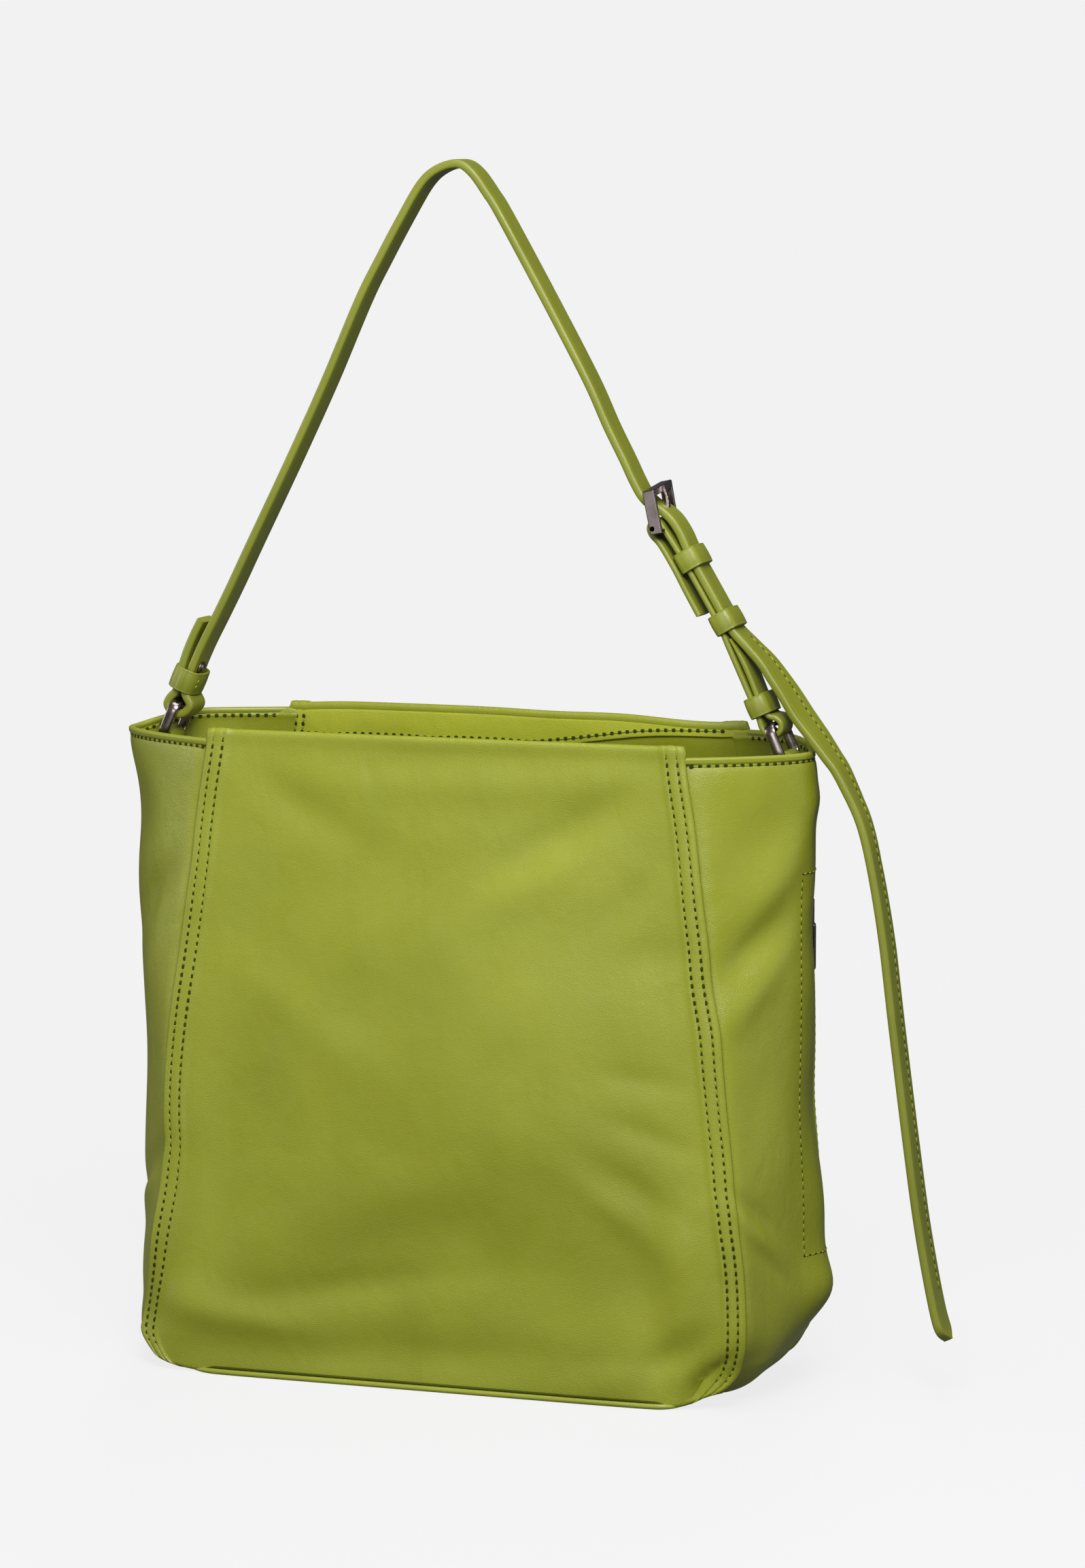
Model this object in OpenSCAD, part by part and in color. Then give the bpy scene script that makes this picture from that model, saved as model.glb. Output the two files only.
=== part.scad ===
// Leather shoulder bag with an upright buckled strap, standing on its flat base.
// X runs to the right, Y to the back and Z up; the origin is the middle of the base's underside.

/* [Bag body] */
// Half width of the front and back panels at the mouth
mouth_half_w = 127; // [115:1:135]
// Half width of the body just above the rounded bottom corners
base_half_w = 164; // [155:1:170]
// Half depth between the panels at the mouth
mouth_half_d = 50; // [45:1:55]
// Half depth between the panels at the base
base_half_d = 64; // [58:1:68]
// Height of the front panel
front_h = 328; // [315:1:340]
// Height of the back panel
back_h = 333; // [320:1:345]
// Height of the rolled edge of the side gussets
rim_h = 324; // [312:1:326]
// How far the left gusset stands out past the seams at the mouth
left_bulge = 59; // [50:1:62]
// How far the right gusset stands out past the seams at the mouth
right_bulge = 54; // [48:1:56]
// How far both gussets stand out just above the bottom corners
base_bulge = 13; // [8:1:18]
// Radius of the bottom corners seen from the front
corner_r = 28; // [22:1:34]
// Thickness of the doubled leather of the panels
leather_t = 1.8; // [1.6:0.1:2.0]

/* [Strap] */
// Width of the strap
strap_w = 18; // [16:0.5:20]
// Thickness of the long shoulder strap
strap_t = 4.4; // [4:0.1:4.5]
// Thickness of the short buckle strap
short_t = 3.2; // [2.8:0.1:3.3]
// Thickness of the leather of the keeper loops
keeper_t = 1.6; // [1.2:0.1:1.7]
// Length of a keeper along the strap
keeper_len = 10.6; // [9:0.2:11]

/* [Metal] */
// Inner width of the strap rings
ring_w = 23; // [21:0.5:24]
// Distance between the middles of a ring's two bars
ring_h = 19; // [18.5:0.1:19.5]
// Thickness of a ring's band in its own plane
ring_band = 2.4; // [2:0.1:2.6]
// Depth of a ring's band across its plane
ring_depth = 3.4; // [3:0.1:3.6]
// Radius of the buckle's pin
pin_r = 1.3; // [1.2:0.05:1.4]

/* [Side pocket] */
// Height of the lower end of the zip frame
pocket_low = 58; // [50:1:70]
// Height of the upper end of the zip frame
pocket_high = 258; // [240:1:262]

/* [Hidden] */

$fn = 48;
gap = 0.3;                       // room between pieces that only touch
lime = [0.55, 0.62, 0.16];
lime_dark = [0.44, 0.50, 0.12];
lime_edge = [0.66, 0.72, 0.32];
gunmetal = [0.27, 0.25, 0.27];
cotton = [0.62, 0.60, 0.50];
board = [0.30, 0.29, 0.27];

// ---- Body surface ----
gusset_power = 1.8;              // shape of a gusset's outline seen from above: 2 is a parabola
gusset_low = corner_r;           // height where the straight walls end and the corners begin
corner_steps = 5;

function mix(a, b, t) = a + (b - a) * t;
function fall(z) = (front_h - z) / (front_h - gusset_low);
function seam_x(z) = mix(mouth_half_w, base_half_w, fall(z));
function seam_y(z) = mix(mouth_half_d, base_half_d, fall(z));
function bulge_at(z, top) = mix(top, base_bulge, fall(z));

// A level is [height, corner angle]: the angle is 0 on the straight wall, 90 under the bag.
function wall_levels(top, n) = [for (i = [0:n]) [mix(top, gusset_low, i / n), 0]];
function corner_levels() = [for (i = [1:corner_steps]) [gusset_low, 90 * i / corner_steps]];
function levels(top, n) = concat(wall_levels(top, n), corner_levels());

// Point on a gusset. side is 1 right, -1 left; u runs from -1 at the front seam to 1 at the back
// seam; depth is how far inside the outer face the point lies.
function gusset_pt(side, u, lv, depth) =
    let (z = lv[0], a = lv[1],
        out = bulge_at(z, side > 0 ? right_bulge : left_bulge) * (1 - pow(abs(u), gusset_power)),
        x = a == 0 ? seam_x(z) + out - depth
            : base_half_w - corner_r + (corner_r - depth + out) * cos(a))
    [side * x, u * (seam_y(z) - depth), a == 0 ? z : corner_r - (corner_r - depth) * sin(a)];

// Point on the front (side -1) or back (side 1) panel; v runs from -1 left to 1 right.
belly = 5;                       // how far the middle of a panel swells out
function panel_pt(side, v, lv, depth) =
    let (p = gusset_pt(1, 1, lv, depth),
        swell = belly * (1 - v * v) * pow(sin(180 * min(1, max(0, p[2] / front_h))), 2))
    [v * p[0], side * (p[1] + swell), p[2]];

// Closed solid between two grids of points with the same number of rows and columns.
module slab(a, b) {
    rows = len(a);
    cols = len(a[0]);
    n = rows * cols;
    function id(r, c, s) = s * n + r * cols + c;
    faces = concat(
        [for (r = [0:rows - 2]) for (c = [0:cols - 2]) for (k = [0, 1])
            k == 0 ? [id(r, c, 0), id(r, c + 1, 0), id(r + 1, c + 1, 0)]
                : [id(r, c, 0), id(r + 1, c + 1, 0), id(r + 1, c, 0)]],
        [for (r = [0:rows - 2]) for (c = [0:cols - 2]) for (k = [0, 1])
            k == 0 ? [id(r, c, 1), id(r + 1, c + 1, 1), id(r, c + 1, 1)]
                : [id(r, c, 1), id(r + 1, c, 1), id(r + 1, c + 1, 1)]],
        [for (c = [0:cols - 2]) for (k = [0, 1])
            k == 0 ? [id(0, c, 0), id(0, c, 1), id(0, c + 1, 1)]
                : [id(0, c, 0), id(0, c + 1, 1), id(0, c + 1, 0)]],
        [for (c = [0:cols - 2]) for (k = [0, 1])
            k == 0 ? [id(rows - 1, c, 0), id(rows - 1, c + 1, 1), id(rows - 1, c, 1)]
                : [id(rows - 1, c, 0), id(rows - 1, c + 1, 0), id(rows - 1, c + 1, 1)]],
        [for (r = [0:rows - 2]) for (k = [0, 1])
            k == 0 ? [id(r, 0, 0), id(r + 1, 0, 1), id(r, 0, 1)]
                : [id(r, 0, 0), id(r + 1, 0, 0), id(r + 1, 0, 1)]],
        [for (r = [0:rows - 2]) for (k = [0, 1])
            k == 0 ? [id(r, cols - 1, 0), id(r, cols - 1, 1), id(r + 1, cols - 1, 1)]
                : [id(r, cols - 1, 0), id(r + 1, cols - 1, 1), id(r + 1, cols - 1, 0)]]);
    polyhedron([for (g = [a, b]) for (row = g) for (p = row) p], faces);
}

module panel(side, top) {
    lv = levels(top, 8);
    vs = [for (i = [0:12]) -side * (1 - i / 6)];
    slab([for (l = lv) [for (v = vs) panel_pt(side, v, l, 0)]],
        [for (l = lv) [for (v = vs) panel_pt(side, v, l, leather_t)]]);
}

// Part of a gusset between two u values, two levels and two depths.
module gusset_patch(side, u0, u1, n, lv, d0, d1) {
    us = [for (i = [0:n]) side * mix(u0, u1, i / n)];
    slab([for (l = lv) [for (u = us) gusset_pt(side, u, l, d0)]],
        [for (l = lv) [for (u = us) gusset_pt(side, u, l, d1)]]);
}

rim_edge_h = 4.8;                // height of the rolled edge on top of a gusset
module gusset(side) gusset_patch(side, -1, 1, 16, levels(rim_h - rim_edge_h, 6), 0, leather_t);

module rim_edge(side) {
    roll = 0.6;                  // how far the rolled edge stands out on both faces
    low = rim_h - rim_edge_h + gap / 2;
    gusset_patch(side, -0.97, 0.97, 24, [[rim_h, 0], [low, 0]], -roll, leather_t + roll);
}

// Flat facing sewn inside the top of a panel.
facing_h = 17;
facing_t = 1.2;
module facing(side, top) {
    lv = [for (i = [0:2]) [top - 0.8 - i * facing_h / 2, 0]];
    vs = [for (i = [0:8]) -side * 0.96 * (1 - i / 4)];
    near = leather_t + gap / 2;
    slab([for (l = lv) [for (v = vs) panel_pt(side, v, l, near)]],
        [for (l = lv) [for (v = vs) panel_pt(side, v, l, near + facing_t)]]);
}

board_t = 1.6;
board_z = leather_t + 0.2;
module base_plate(half_w, half_d, z, t) {
    translate([-half_w, -half_d, z]) cube([2 * half_w, 2 * half_d, t]);
}

// Cloth bag inside the leather: a cup between two offsets of the body surface.
lining_depth = 5.0;
lining_t = 0.8;
lining_top = 292;
function body_loop(lv, depth) = concat(
    [for (i = [0:12]) gusset_pt(1, -1 + i / 6, lv, depth)],
    [for (i = [1:5]) panel_pt(1, 1 - i / 3, lv, depth)],
    [for (i = [0:12]) gusset_pt(-1, 1 - i / 6, lv, depth)],
    [for (i = [1:5]) panel_pt(-1, -1 + i / 3, lv, depth)]);
module cup() {
    lv = levels(lining_top, 5);
    loops = concat([for (l = lv) body_loop(l, lining_depth)],
        [for (i = [len(lv) - 1:-1:0]) body_loop(lv[i], lining_depth + lining_t)]);
    n = len(loops[0]);
    rows = len(loops);
    floors = [[0, 0, lining_depth], [0, 0, lining_depth + lining_t]];
    polyhedron(concat([for (l = loops) for (p = l) p], floors), concat(
        [for (r = [0:rows - 1]) if (r != len(lv) - 1) for (c = [0:n - 1]) for (k = [0, 1])
            let (q = (r + 1) % rows, d = (c + 1) % n)
            k == 0 ? [r * n + c, q * n + d, r * n + d] : [r * n + c, q * n + c, q * n + d]],
        [for (c = [0:n - 1]) [rows * n, (len(lv) - 1) * n + (c + 1) % n, (len(lv) - 1) * n + c]],
        [for (c = [0:n - 1]) [rows * n + 1, len(lv) * n + c, len(lv) * n + (c + 1) % n]]));
}

// ---- Straps: bands of even thickness along a smooth line in the XZ plane ----
function spline_pt(p, i, t) =
    let (n = len(p) - 1, a = p[max(0, i - 1)], b = p[i], c = p[min(n, i + 1)], d = p[min(n, i + 2)])
    0.5 * ((2 * b) + (c - a) * t + (2 * a - 5 * b + 4 * c - d) * t * t
        + (3 * b - a - 3 * c + d) * t * t * t);
function spline(p, steps) = concat(
    [for (i = [0:len(p) - 2]) for (k = [0:steps - 1]) spline_pt(p, i, k / steps)], [p[len(p) - 1]]);
function unit(v) = v / norm(v);
function side_of(p, i) =
    let (n = len(p) - 1, d = unit(p[min(n, i + 1)] - p[max(0, i - 1)])) [-d[1], d[0]];
function band(p, t) = concat(
    [for (i = [0:len(p) - 1]) p[i] + side_of(p, i) * t / 2],
    [for (i = [len(p) - 1:-1:0]) p[i] - side_of(p, i) * t / 2]);
module across(w) rotate([90, 0, 0]) linear_extrude(height = w, center = true) children();
module strap_band(route, steps, t, w = strap_w) across(w) polygon(band(spline(route, steps), t));

// Puts a child at a place in the XZ plane with its own Z along the given direction.
module along(at, dir) translate([at[0], 0, at[1]]) rotate([0, atan2(dir[0], dir[1]), 0]) children();

// Round-cornered plate made of squares and circles only.
module rounded(w, h, r) {
    square([w - 2 * r, h], center = true);
    square([w, h - 2 * r], center = true);
    for (x = [-1, 1]) for (y = [-1, 1]) translate([x * (w / 2 - r), y * (h / 2 - r)]) circle(r);
}

// Rings: the lower bar sits in the gusset's tab, the upper bar in the strap.
ring_foot = [166.5, 319.8];
ring_lean = 23.2;
function ring_at(side, h) =
    [side * (ring_foot[0] - h * sin(ring_lean)), ring_foot[1] + h * cos(ring_lean)];
module ring(side) {
    mid = ring_at(side, ring_h / 2);
    color(gunmetal) translate([mid[0], 0, mid[1]]) rotate([0, -side * ring_lean, 0])
        rotate([90, 0, 90]) linear_extrude(height = ring_depth, center = true) difference() {
            rounded(ring_w + 2 * ring_band, ring_h + ring_band, 5);
            rounded(ring_w, ring_h - ring_band, 5 - ring_band);
        }
}

// Leather tab folded round a ring's lower bar and sewn to the inside of the gusset.
tab_t = 2;
tab_w = 16;
tab_low = 296;                   // height of the tab's sewn ends
module ring_tab(side) {
    r = tab_t / 2 + ring_depth / 2 + 0.9;
    wall = gusset_pt(side, tab_w / 2 / (seam_y(tab_low) - leather_t), [tab_low, 0], leather_t);
    hang = abs(wall[0]) - (gap + tab_t) / 2;
    near = hang - tab_t - gap;
    left = ring_foot[0] - r;
    function at(x, z) = [side * x, z];
    outer = [at(hang, tab_low), at(hang, 304), at(mix(hang, ring_foot[0] + r, 0.35), 312)];
    turn = [for (a = [-15:35:195]) ring_at(side, 0) + r * [side * cos(a), sin(a)]];
    inner = [at(mix(left, near, 0.2), 313.4), at(mix(left, near, 0.72), 308.4),
        at(near, 302), at(near, tab_low)];
    color(lime_dark) strap_band(concat(outer, turn, inner), 3, tab_t, tab_w);
}

// Centre lines, as [x, z].
left_loop = [-159, 337.6];       // middle of the strap's loop in the left ring
loop_r = 6.3;
left_main = [[-155.3, 342.2], [-153.8, 348], [-152.1, 353.8], [-146.6, 366], [-138.4, 381.5],
    [-129.8, 398], [-119.2, 419.3], [-98, 461.4], [-77.8, 503], [-59.2, 544.4], [-48, 565.5],
    [-36.4, 586], [-25.5, 603.5], [-16.5, 611], [-6, 613.6], [1.5, 609.3], [9.5, 598.8],
    [16.7, 587.8], [39.8, 547.4], [62, 507.2], [73, 484], [81.6, 467.4], [86.4, 457.6],
    [90.8, 450], [95.2, 445.6], [101, 442.8], [106.6, 438.2], [111.3, 431.4], [114.6, 424.5],
    [117.4, 419.2], [123.4, 409], [129.4, 398.9], [133.4, 392.1], [137.7, 384.8]];
left_fold = [[-146.2, 380.2], [-149.6, 373.8], [-152.8, 367], [-155.2, 361], [-157.1, 355],
    [-158.6, 349.2], [-160.2, 343.4], [-163.6, 339.8]];
strap_route = concat(left_fold,
    [for (a = [170:-32:10]) left_loop + loop_r * [cos(a), -sin(a)]], left_main);

bundle_top = [115.8, 418.4];     // middle of the upper keeper
bundle_low = [133.9, 387.8];     // middle of the lower keeper
bundle_dir = unit(bundle_low - bundle_top);
bundle_out = [-bundle_dir[1], bundle_dir[0]];
short_off = -(strap_t + gap) / 2;
leg_at = [152.8, 345.3];         // point between the two legs of the buckle strap at the ring
leg_dir = unit([19.3, -42]);     // run of the legs between the lower keeper and the ring
leg_out = [-leg_dir[1], leg_dir[0]];
leg_half = (short_t + gap) / 2;
function leg_pt(s, off) = leg_at + leg_dir * s + leg_out * off;
ring_keeper_at = leg_pt(-1.4, 0);
right_loop = [leg_pt(4, -1.9), leg_pt(9.4, -2.5), leg_pt(13.4, -1.2), leg_pt(15.4, 2.2),
    leg_pt(14.2, 5.8), leg_pt(11, 7.4), leg_pt(7.8, 6.2), leg_pt(5.6, 3.4), leg_pt(2.4, 2)];
short_route = concat(
    [[122.4, 391.2], [115.6, 402.6], [108.9, 413.9], [101.4, 425.2], [96.8, 430.2], [95.6, 434],
        [97.6, 436.8], [100.8, 436.3], [103.6, 432.4], [107.4, 427]],
    [bundle_top + bundle_out * short_off, [118, 410.2], [125, 398.4]],
    [bundle_low + bundle_out * short_off],
    [for (s = [-34:8:-2]) leg_pt(s, -leg_half)], right_loop,
    [leg_pt(-1.4, leg_half), leg_pt(-8, leg_half), leg_pt(-22, leg_half)]);

// Tail: leaves the lower keeper, bows over the rim of the bag and hangs down outside it.
tail_pivot = [146.6, 376.3];
swing_pivot = [188, 323.2];
tail_top_route = [tail_pivot, [156, 367.6], [166, 355], [174.5, 342.4], [182.6, 331],
    swing_pivot];
tail_route = [swing_pivot, [196.5, 310.5], [207.5, 287], [215.6, 247], [223.4, 186],
    [231.5, 125], [237.6, 84], [245.6, 44], [250.8, 31]];

// ---- Buckle ----
buckle_at = [99, 442];
buckle_dir = unit([-4.5, 21.5]);
buckle_out = [buckle_dir[1], -buckle_dir[0]];
buckle_w = 30;
buckle_h = 22;
buckle_depth = 5.4;
buckle_wall = 2;
function buckle_pt(up, out) = buckle_at + buckle_dir * up + buckle_out * out;
pin_at = buckle_pt(-8, -1.5);
prong_w = 3;
stud_at = [-152.9, 358.9];
stud_dir = unit([0.93, -0.37]);

module front_panel() color(lime) panel(-1, front_h);
module back_panel() color(lime) panel(1, back_h);
module left_gusset() color(lime) gusset(-1);
module right_gusset() color(lime) difference() {
    gusset(1);
    gusset_patch(1, zip_u - slit_u, zip_u + slit_u, 2,
        [[pocket_high - 10, 0], [pocket_low + 10, 0]], -1, leather_t + 1);
}
module base_panel() color(lime_dark)
    base_plate(base_half_w - corner_r, base_half_d - leather_t, 0, leather_t);
module base_board() color(board)
    base_plate(base_half_w - corner_r - 6, base_half_d - lining_depth - 2, board_z, board_t);
module lining() color(cotton) cup();
module front_facing() color(lime) facing(-1, front_h);
module back_facing() color(lime) facing(1, back_h);
module left_rim_edge() color(lime_edge) rim_edge(-1);
module right_rim_edge() color(lime_edge) rim_edge(1);

piping_r = 1.5;
module piping(side) color(lime_edge)
    translate([0, side * (base_half_d + piping_r + gap), piping_r]) rotate([0, 90, 0])
        cylinder(r = piping_r, h = 2 * (base_half_w - corner_r), center = true);
module front_base_piping() piping(-1);
module back_base_piping() piping(1);

module left_ring_tab() ring_tab(-1);
module right_ring_tab() ring_tab(1);
module left_ring() ring(-1);
module right_ring() ring(1);

module shoulder_strap() color(lime) difference() {
    strap_band(strap_route, 4, strap_t);
    along(stud_at, stud_dir) cylinder(r = 1.4, h = 24, center = true);
    along(buckle_pt(0, 3.8), buckle_dir) cube([7.4, prong_w + 1.2, 14], center = true);
    for (i = [0:2]) along(left_main[19] + i * 30 * unit([-22.2, 40.2]), [40.2, 22.2])
        cylinder(r = 1, h = 12, center = true);
}
module strap_stud() color(gunmetal) along(stud_at, stud_dir) {
    cylinder(r = 1.3, h = 2 * strap_t + 3, center = true);
    translate([0, 0, strap_t + 4 * gap]) intersection() {
        translate([0, 0, -1.4]) sphere(r = 4.4);
        cylinder(r = 4.3, h = 4);
    }
    translate([0, 0, -strap_t - 3 * gap - 1]) cylinder(r = 3.6, h = 0.9);
}
module keeper(at, dir, inner, length) along(at, dir) linear_extrude(height = length, center = true)
    difference() {
        rounded(inner + 2 * keeper_t, strap_w + 2 * gap + 2 * keeper_t, 2.2);
        square([inner, strap_w + 2 * gap], center = true);
    }
keeper_room = 1.5;               // free height in a keeper over its two layers
module left_keeper() color(lime)
    keeper([-156.2, 348.6], [0.26, 0.966], 2 * strap_t + keeper_room, keeper_len);
module upper_keeper() color(lime)
    keeper(bundle_top, bundle_dir, strap_t + short_t + keeper_room, keeper_len);
module lower_keeper() color(lime)
    keeper(bundle_low, bundle_dir, strap_t + short_t + keeper_room, keeper_len);
module ring_keeper() color(lime)
    keeper(ring_keeper_at, leg_dir, 2 * short_t + keeper_room + 0.7, keeper_len);

module buckle_strap() color(lime) difference() {
    strap_band(short_route, 4, short_t);
    translate([101.5, 0, 435]) cube([15, prong_w + 1.4, 12], center = true);
}
module buckle_frame() color(gunmetal) difference() {
    along(buckle_at, buckle_dir) cube([buckle_depth, buckle_w, buckle_h], center = true);
    along(buckle_pt(-buckle_wall, 0), buckle_dir)
        cube([buckle_depth + 2, buckle_w - 2 * buckle_wall, buckle_h], center = true);
    translate([pin_at[0], 0, pin_at[1]]) rotate([90, 0, 0])
        cylinder(r = pin_r + 0.02, h = buckle_w + 2, center = true);
}
module buckle_pin() color(gunmetal) translate([pin_at[0], 0, pin_at[1]]) rotate([90, 0, 0])
    cylinder(r = pin_r, h = buckle_w, center = true);
module buckle_prong() color(gunmetal) difference() {
    union() {
        translate([pin_at[0], 0, pin_at[1]]) rotate([90, 0, 0])
            cylinder(r = pin_r + 1.1, h = prong_w, center = true);
        across(prong_w) polygon([buckle_pt(-8.6, -1), buckle_pt(-7, -2.6), buckle_pt(-3, 2.2),
            buckle_pt(4, 3.1), buckle_pt(12.2, 3.1), buckle_pt(12.2, 4.6), buckle_pt(4, 5.4),
            buckle_pt(-4, 4.2)]);
    }
    translate([pin_at[0], 0, pin_at[1]]) rotate([90, 0, 0])
        cylinder(r = pin_r + 0.06, h = prong_w + 2, center = true);
}

// The tail's top is rounded about its pivot, so that it can turn beside the lower keeper.
module strap_tail_top() color(lime) {
    route = spline(tail_top_route, 4);
    last = len(route) - 1;
    back = unit(route[last - 1] - route[last]);
    across(strap_w) polygon(band([for (i = [0:last]) i < last ? route[i] : route[i] + back * 1.4], strap_t));
    along(tail_pivot, [0.714, 0.70]) cylinder(r = strap_w / 2, h = strap_t, center = true);
}
module strap_tail() color(lime) {
    route = spline(tail_route, 4);
    ahead = unit(route[1] - route[0]);
    across(strap_w) polygon(band([for (i = [0:len(route) - 1]) i > 0 ? route[i] : route[i] + ahead * 1.4],
        strap_t));
}

// ---- Zip pocket in the right gusset ----
zip_u = 0.54;                    // where the zip runs between the front and back seams
zip_half_u = 0.2;                // half width of the sewn frame
slit_u = 0.085;                  // half width of the slit in the gusset
frame_t = 1;
zip_top = gusset_pt(1, zip_u, [pocket_high, 0], 0);
zip_bottom = gusset_pt(1, zip_u, [pocket_low, 0], 0);
zip_dir = (zip_bottom - zip_top) / norm(zip_bottom - zip_top);
zip_turn = 35;                   // heading of the zip's outward face, from +X towards +Y

module zip_patch(u0, u1, n, z0, z1, d0, d1)
    gusset_patch(1, u0, u1, n, [for (i = [0:4]) [mix(z1, z0, i / 4), 0]], d0, d1);
module zip_frame() color(lime_edge) difference() {
    zip_patch(zip_u - zip_half_u, zip_u + zip_half_u, 4, pocket_low, pocket_high,
        -gap - frame_t, -gap / 2);
    zip_patch(zip_u - slit_u, zip_u + slit_u, 2, pocket_low + 10, pocket_high - 10, -3, 2);
}
module zip_tape() color(lime_dark)
    zip_patch(zip_u - 0.16, zip_u + 0.16, 2, pocket_low + 4, pocket_high - 4,
        leather_t + 0.3, leather_t + 0.9);
tooth_pitch = 6;
tooth_t = 1.2;
module zip_teeth() color(gunmetal) for (i = [0:28]) {
    translate(zip_at(14 + i * tooth_pitch, tooth_t / 2 - leather_t + 0.05))
        rotate([0, 0, zip_turn]) cube([tooth_t, 4, 2.6], center = true);
}
module pocket_pouch() color(cotton)
    zip_patch(0.1, 0.85, 4, pocket_low - 20, pocket_high + 4, leather_t + 1.5, leather_t + 2.4);

// Point on the zip's straight line: s from its upper end, h out of the gusset's face.
function zip_at(s, h) = zip_top + zip_dir * s + h * [cos(zip_turn), sin(zip_turn), 0];
slider_s = 16;
module zip_local(s, h) translate(zip_at(s, h)) rotate([0, 0, zip_turn]) children();
module zip_slider() color(gunmetal) zip_local(slider_s, 1.6) {
    cube([1.6, 5.6, 9], center = true);
    difference() {
        translate([2, 0, 0]) cube([3.2, 2.6, 7], center = true);
        translate([2, 0, 0]) cube([1.6, 4, 4.4], center = true);
    }
}
pull_pivot = zip_at(slider_s + 0.6, 3.6);
module zip_puller() color(gunmetal) translate(pull_pivot) rotate([0, 0, zip_turn]) {
    rotate([90, 0, 0]) cylinder(r = 0.6, h = 5.2, center = true);
    for (y = [-1, 1]) translate([0.5, y * 2.3, -5]) cube([1, 1, 10], center = true);
    difference() {
        translate([1.1, 0, -20]) rotate([0, 90, 0]) linear_extrude(height = 1.2, center = true)
            rounded(24, 7, 2);
        translate([1, 0, -28]) rotate([0, 90, 0]) cylinder(r = 1.6, h = 5, center = true);
    }
}

front_panel();
back_panel();
left_gusset();
right_gusset();
base_panel();
base_board();
lining();
front_facing();
back_facing();
left_rim_edge();
right_rim_edge();
front_base_piping();
back_base_piping();
left_ring_tab();
right_ring_tab();
left_ring();
right_ring();
shoulder_strap();
strap_stud();
left_keeper();
buckle_strap();
buckle_frame();
buckle_pin();
buckle_prong();
upper_keeper();
lower_keeper();
ring_keeper();
strap_tail_top();
strap_tail();
zip_frame();
zip_tape();
zip_teeth();
pocket_pouch();
zip_slider();
zip_puller();
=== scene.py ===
"""A leather shoulder bag: leather skins, thread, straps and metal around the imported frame.

Lengths are in millimetres and become metres where a mesh is made.
"""
import math

import bmesh
import bpy
import numpy as np
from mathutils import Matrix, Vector


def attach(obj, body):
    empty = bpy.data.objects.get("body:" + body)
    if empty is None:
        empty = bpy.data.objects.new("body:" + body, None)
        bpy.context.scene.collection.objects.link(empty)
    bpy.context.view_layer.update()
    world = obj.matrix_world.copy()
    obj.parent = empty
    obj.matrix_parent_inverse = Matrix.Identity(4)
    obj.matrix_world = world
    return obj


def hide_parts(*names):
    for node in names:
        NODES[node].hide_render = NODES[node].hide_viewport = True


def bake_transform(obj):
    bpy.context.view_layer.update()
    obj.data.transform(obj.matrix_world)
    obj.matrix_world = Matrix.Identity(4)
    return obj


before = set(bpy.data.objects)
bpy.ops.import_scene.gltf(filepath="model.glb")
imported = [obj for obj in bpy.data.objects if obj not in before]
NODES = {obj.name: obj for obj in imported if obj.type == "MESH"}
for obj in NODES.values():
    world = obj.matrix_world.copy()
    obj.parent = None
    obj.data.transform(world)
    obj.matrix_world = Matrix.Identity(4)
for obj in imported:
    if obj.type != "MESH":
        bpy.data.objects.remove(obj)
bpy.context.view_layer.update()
MM = 0.001

# ---- The bag's body, as the CAD has it ----
MOUTH_HALF_W, BASE_HALF_W = 127, 164
MOUTH_HALF_D, BASE_HALF_D = 50, 64
FRONT_H, BACK_H, RIM_H = 328, 333, 324
LEFT_BULGE, RIGHT_BULGE, BASE_BULGE = 59, 54, 13
WALL_RUN = 300                  # the walls' slope is measured over this height
CORNER_R = 17
CORNER_RUN = CORNER_R * math.pi / 2
GUSSET_POWER = 1.8
BELLY = 5
LEATHER_T = 1.8
STITCH_PITCH = 4.3
ZIP_U, ZIP_HALF_U, SLIT_U = 0.54, 0.2, 0.085
ZIP_LOW, ZIP_HIGH = 58, 258
ZIP_EDGE = 10                   # width of the leather strip above and below the slit
POUCH_U, POUCH_LOW, POUCH_HIGH = -0.22, 71.5, 264


def mix(a, b, t):
    return a + (b - a) * t


def smooth(t):
    t = np.clip(t, 0, 1)
    return t * t * (3 - 2 * t)


def unit(v):
    return v / np.maximum(np.linalg.norm(v, axis=-1, keepdims=True), 1e-9)


def run_at(z):
    """Distance along a wall from the middle of the underside's corner, for a height on the wall."""
    return z - CORNER_R + CORNER_RUN


def gusset_at(side, u, s, depth):
    """A gusset's point: u from -1 at the front seam to 1 at the back seam, s along the wall."""
    u, s = np.broadcast_arrays(np.asarray(u, float), np.asarray(s, float))
    a = np.clip((CORNER_RUN - s) / CORNER_R, 0, math.pi / 2)
    z = np.maximum(s - CORNER_RUN + CORNER_R, CORNER_R)
    fall = (FRONT_H - z) / WALL_RUN
    bulge = mix(RIGHT_BULGE if side > 0 else LEFT_BULGE, BASE_BULGE, fall)
    out = bulge * (1 - np.minimum(np.abs(u), 1) ** GUSSET_POWER)
    half_d = mix(MOUTH_HALF_D, BASE_HALF_D, fall)
    wall_x = mix(MOUTH_HALF_W, BASE_HALF_W, fall) + out - depth
    foot_x = mix(MOUTH_HALF_W, BASE_HALF_W, (FRONT_H - CORNER_R) / WALL_RUN)
    corner_x = foot_x - CORNER_R + (CORNER_R - depth + out) * np.cos(a)
    x = np.where(a > 0, corner_x, wall_x)
    height = np.where(a > 0, CORNER_R - (CORNER_R - depth) * np.sin(a), z)
    height = height + rim_lift(side, u, z)
    return np.stack([side * x, u * (half_d - depth), height], -1)


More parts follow.
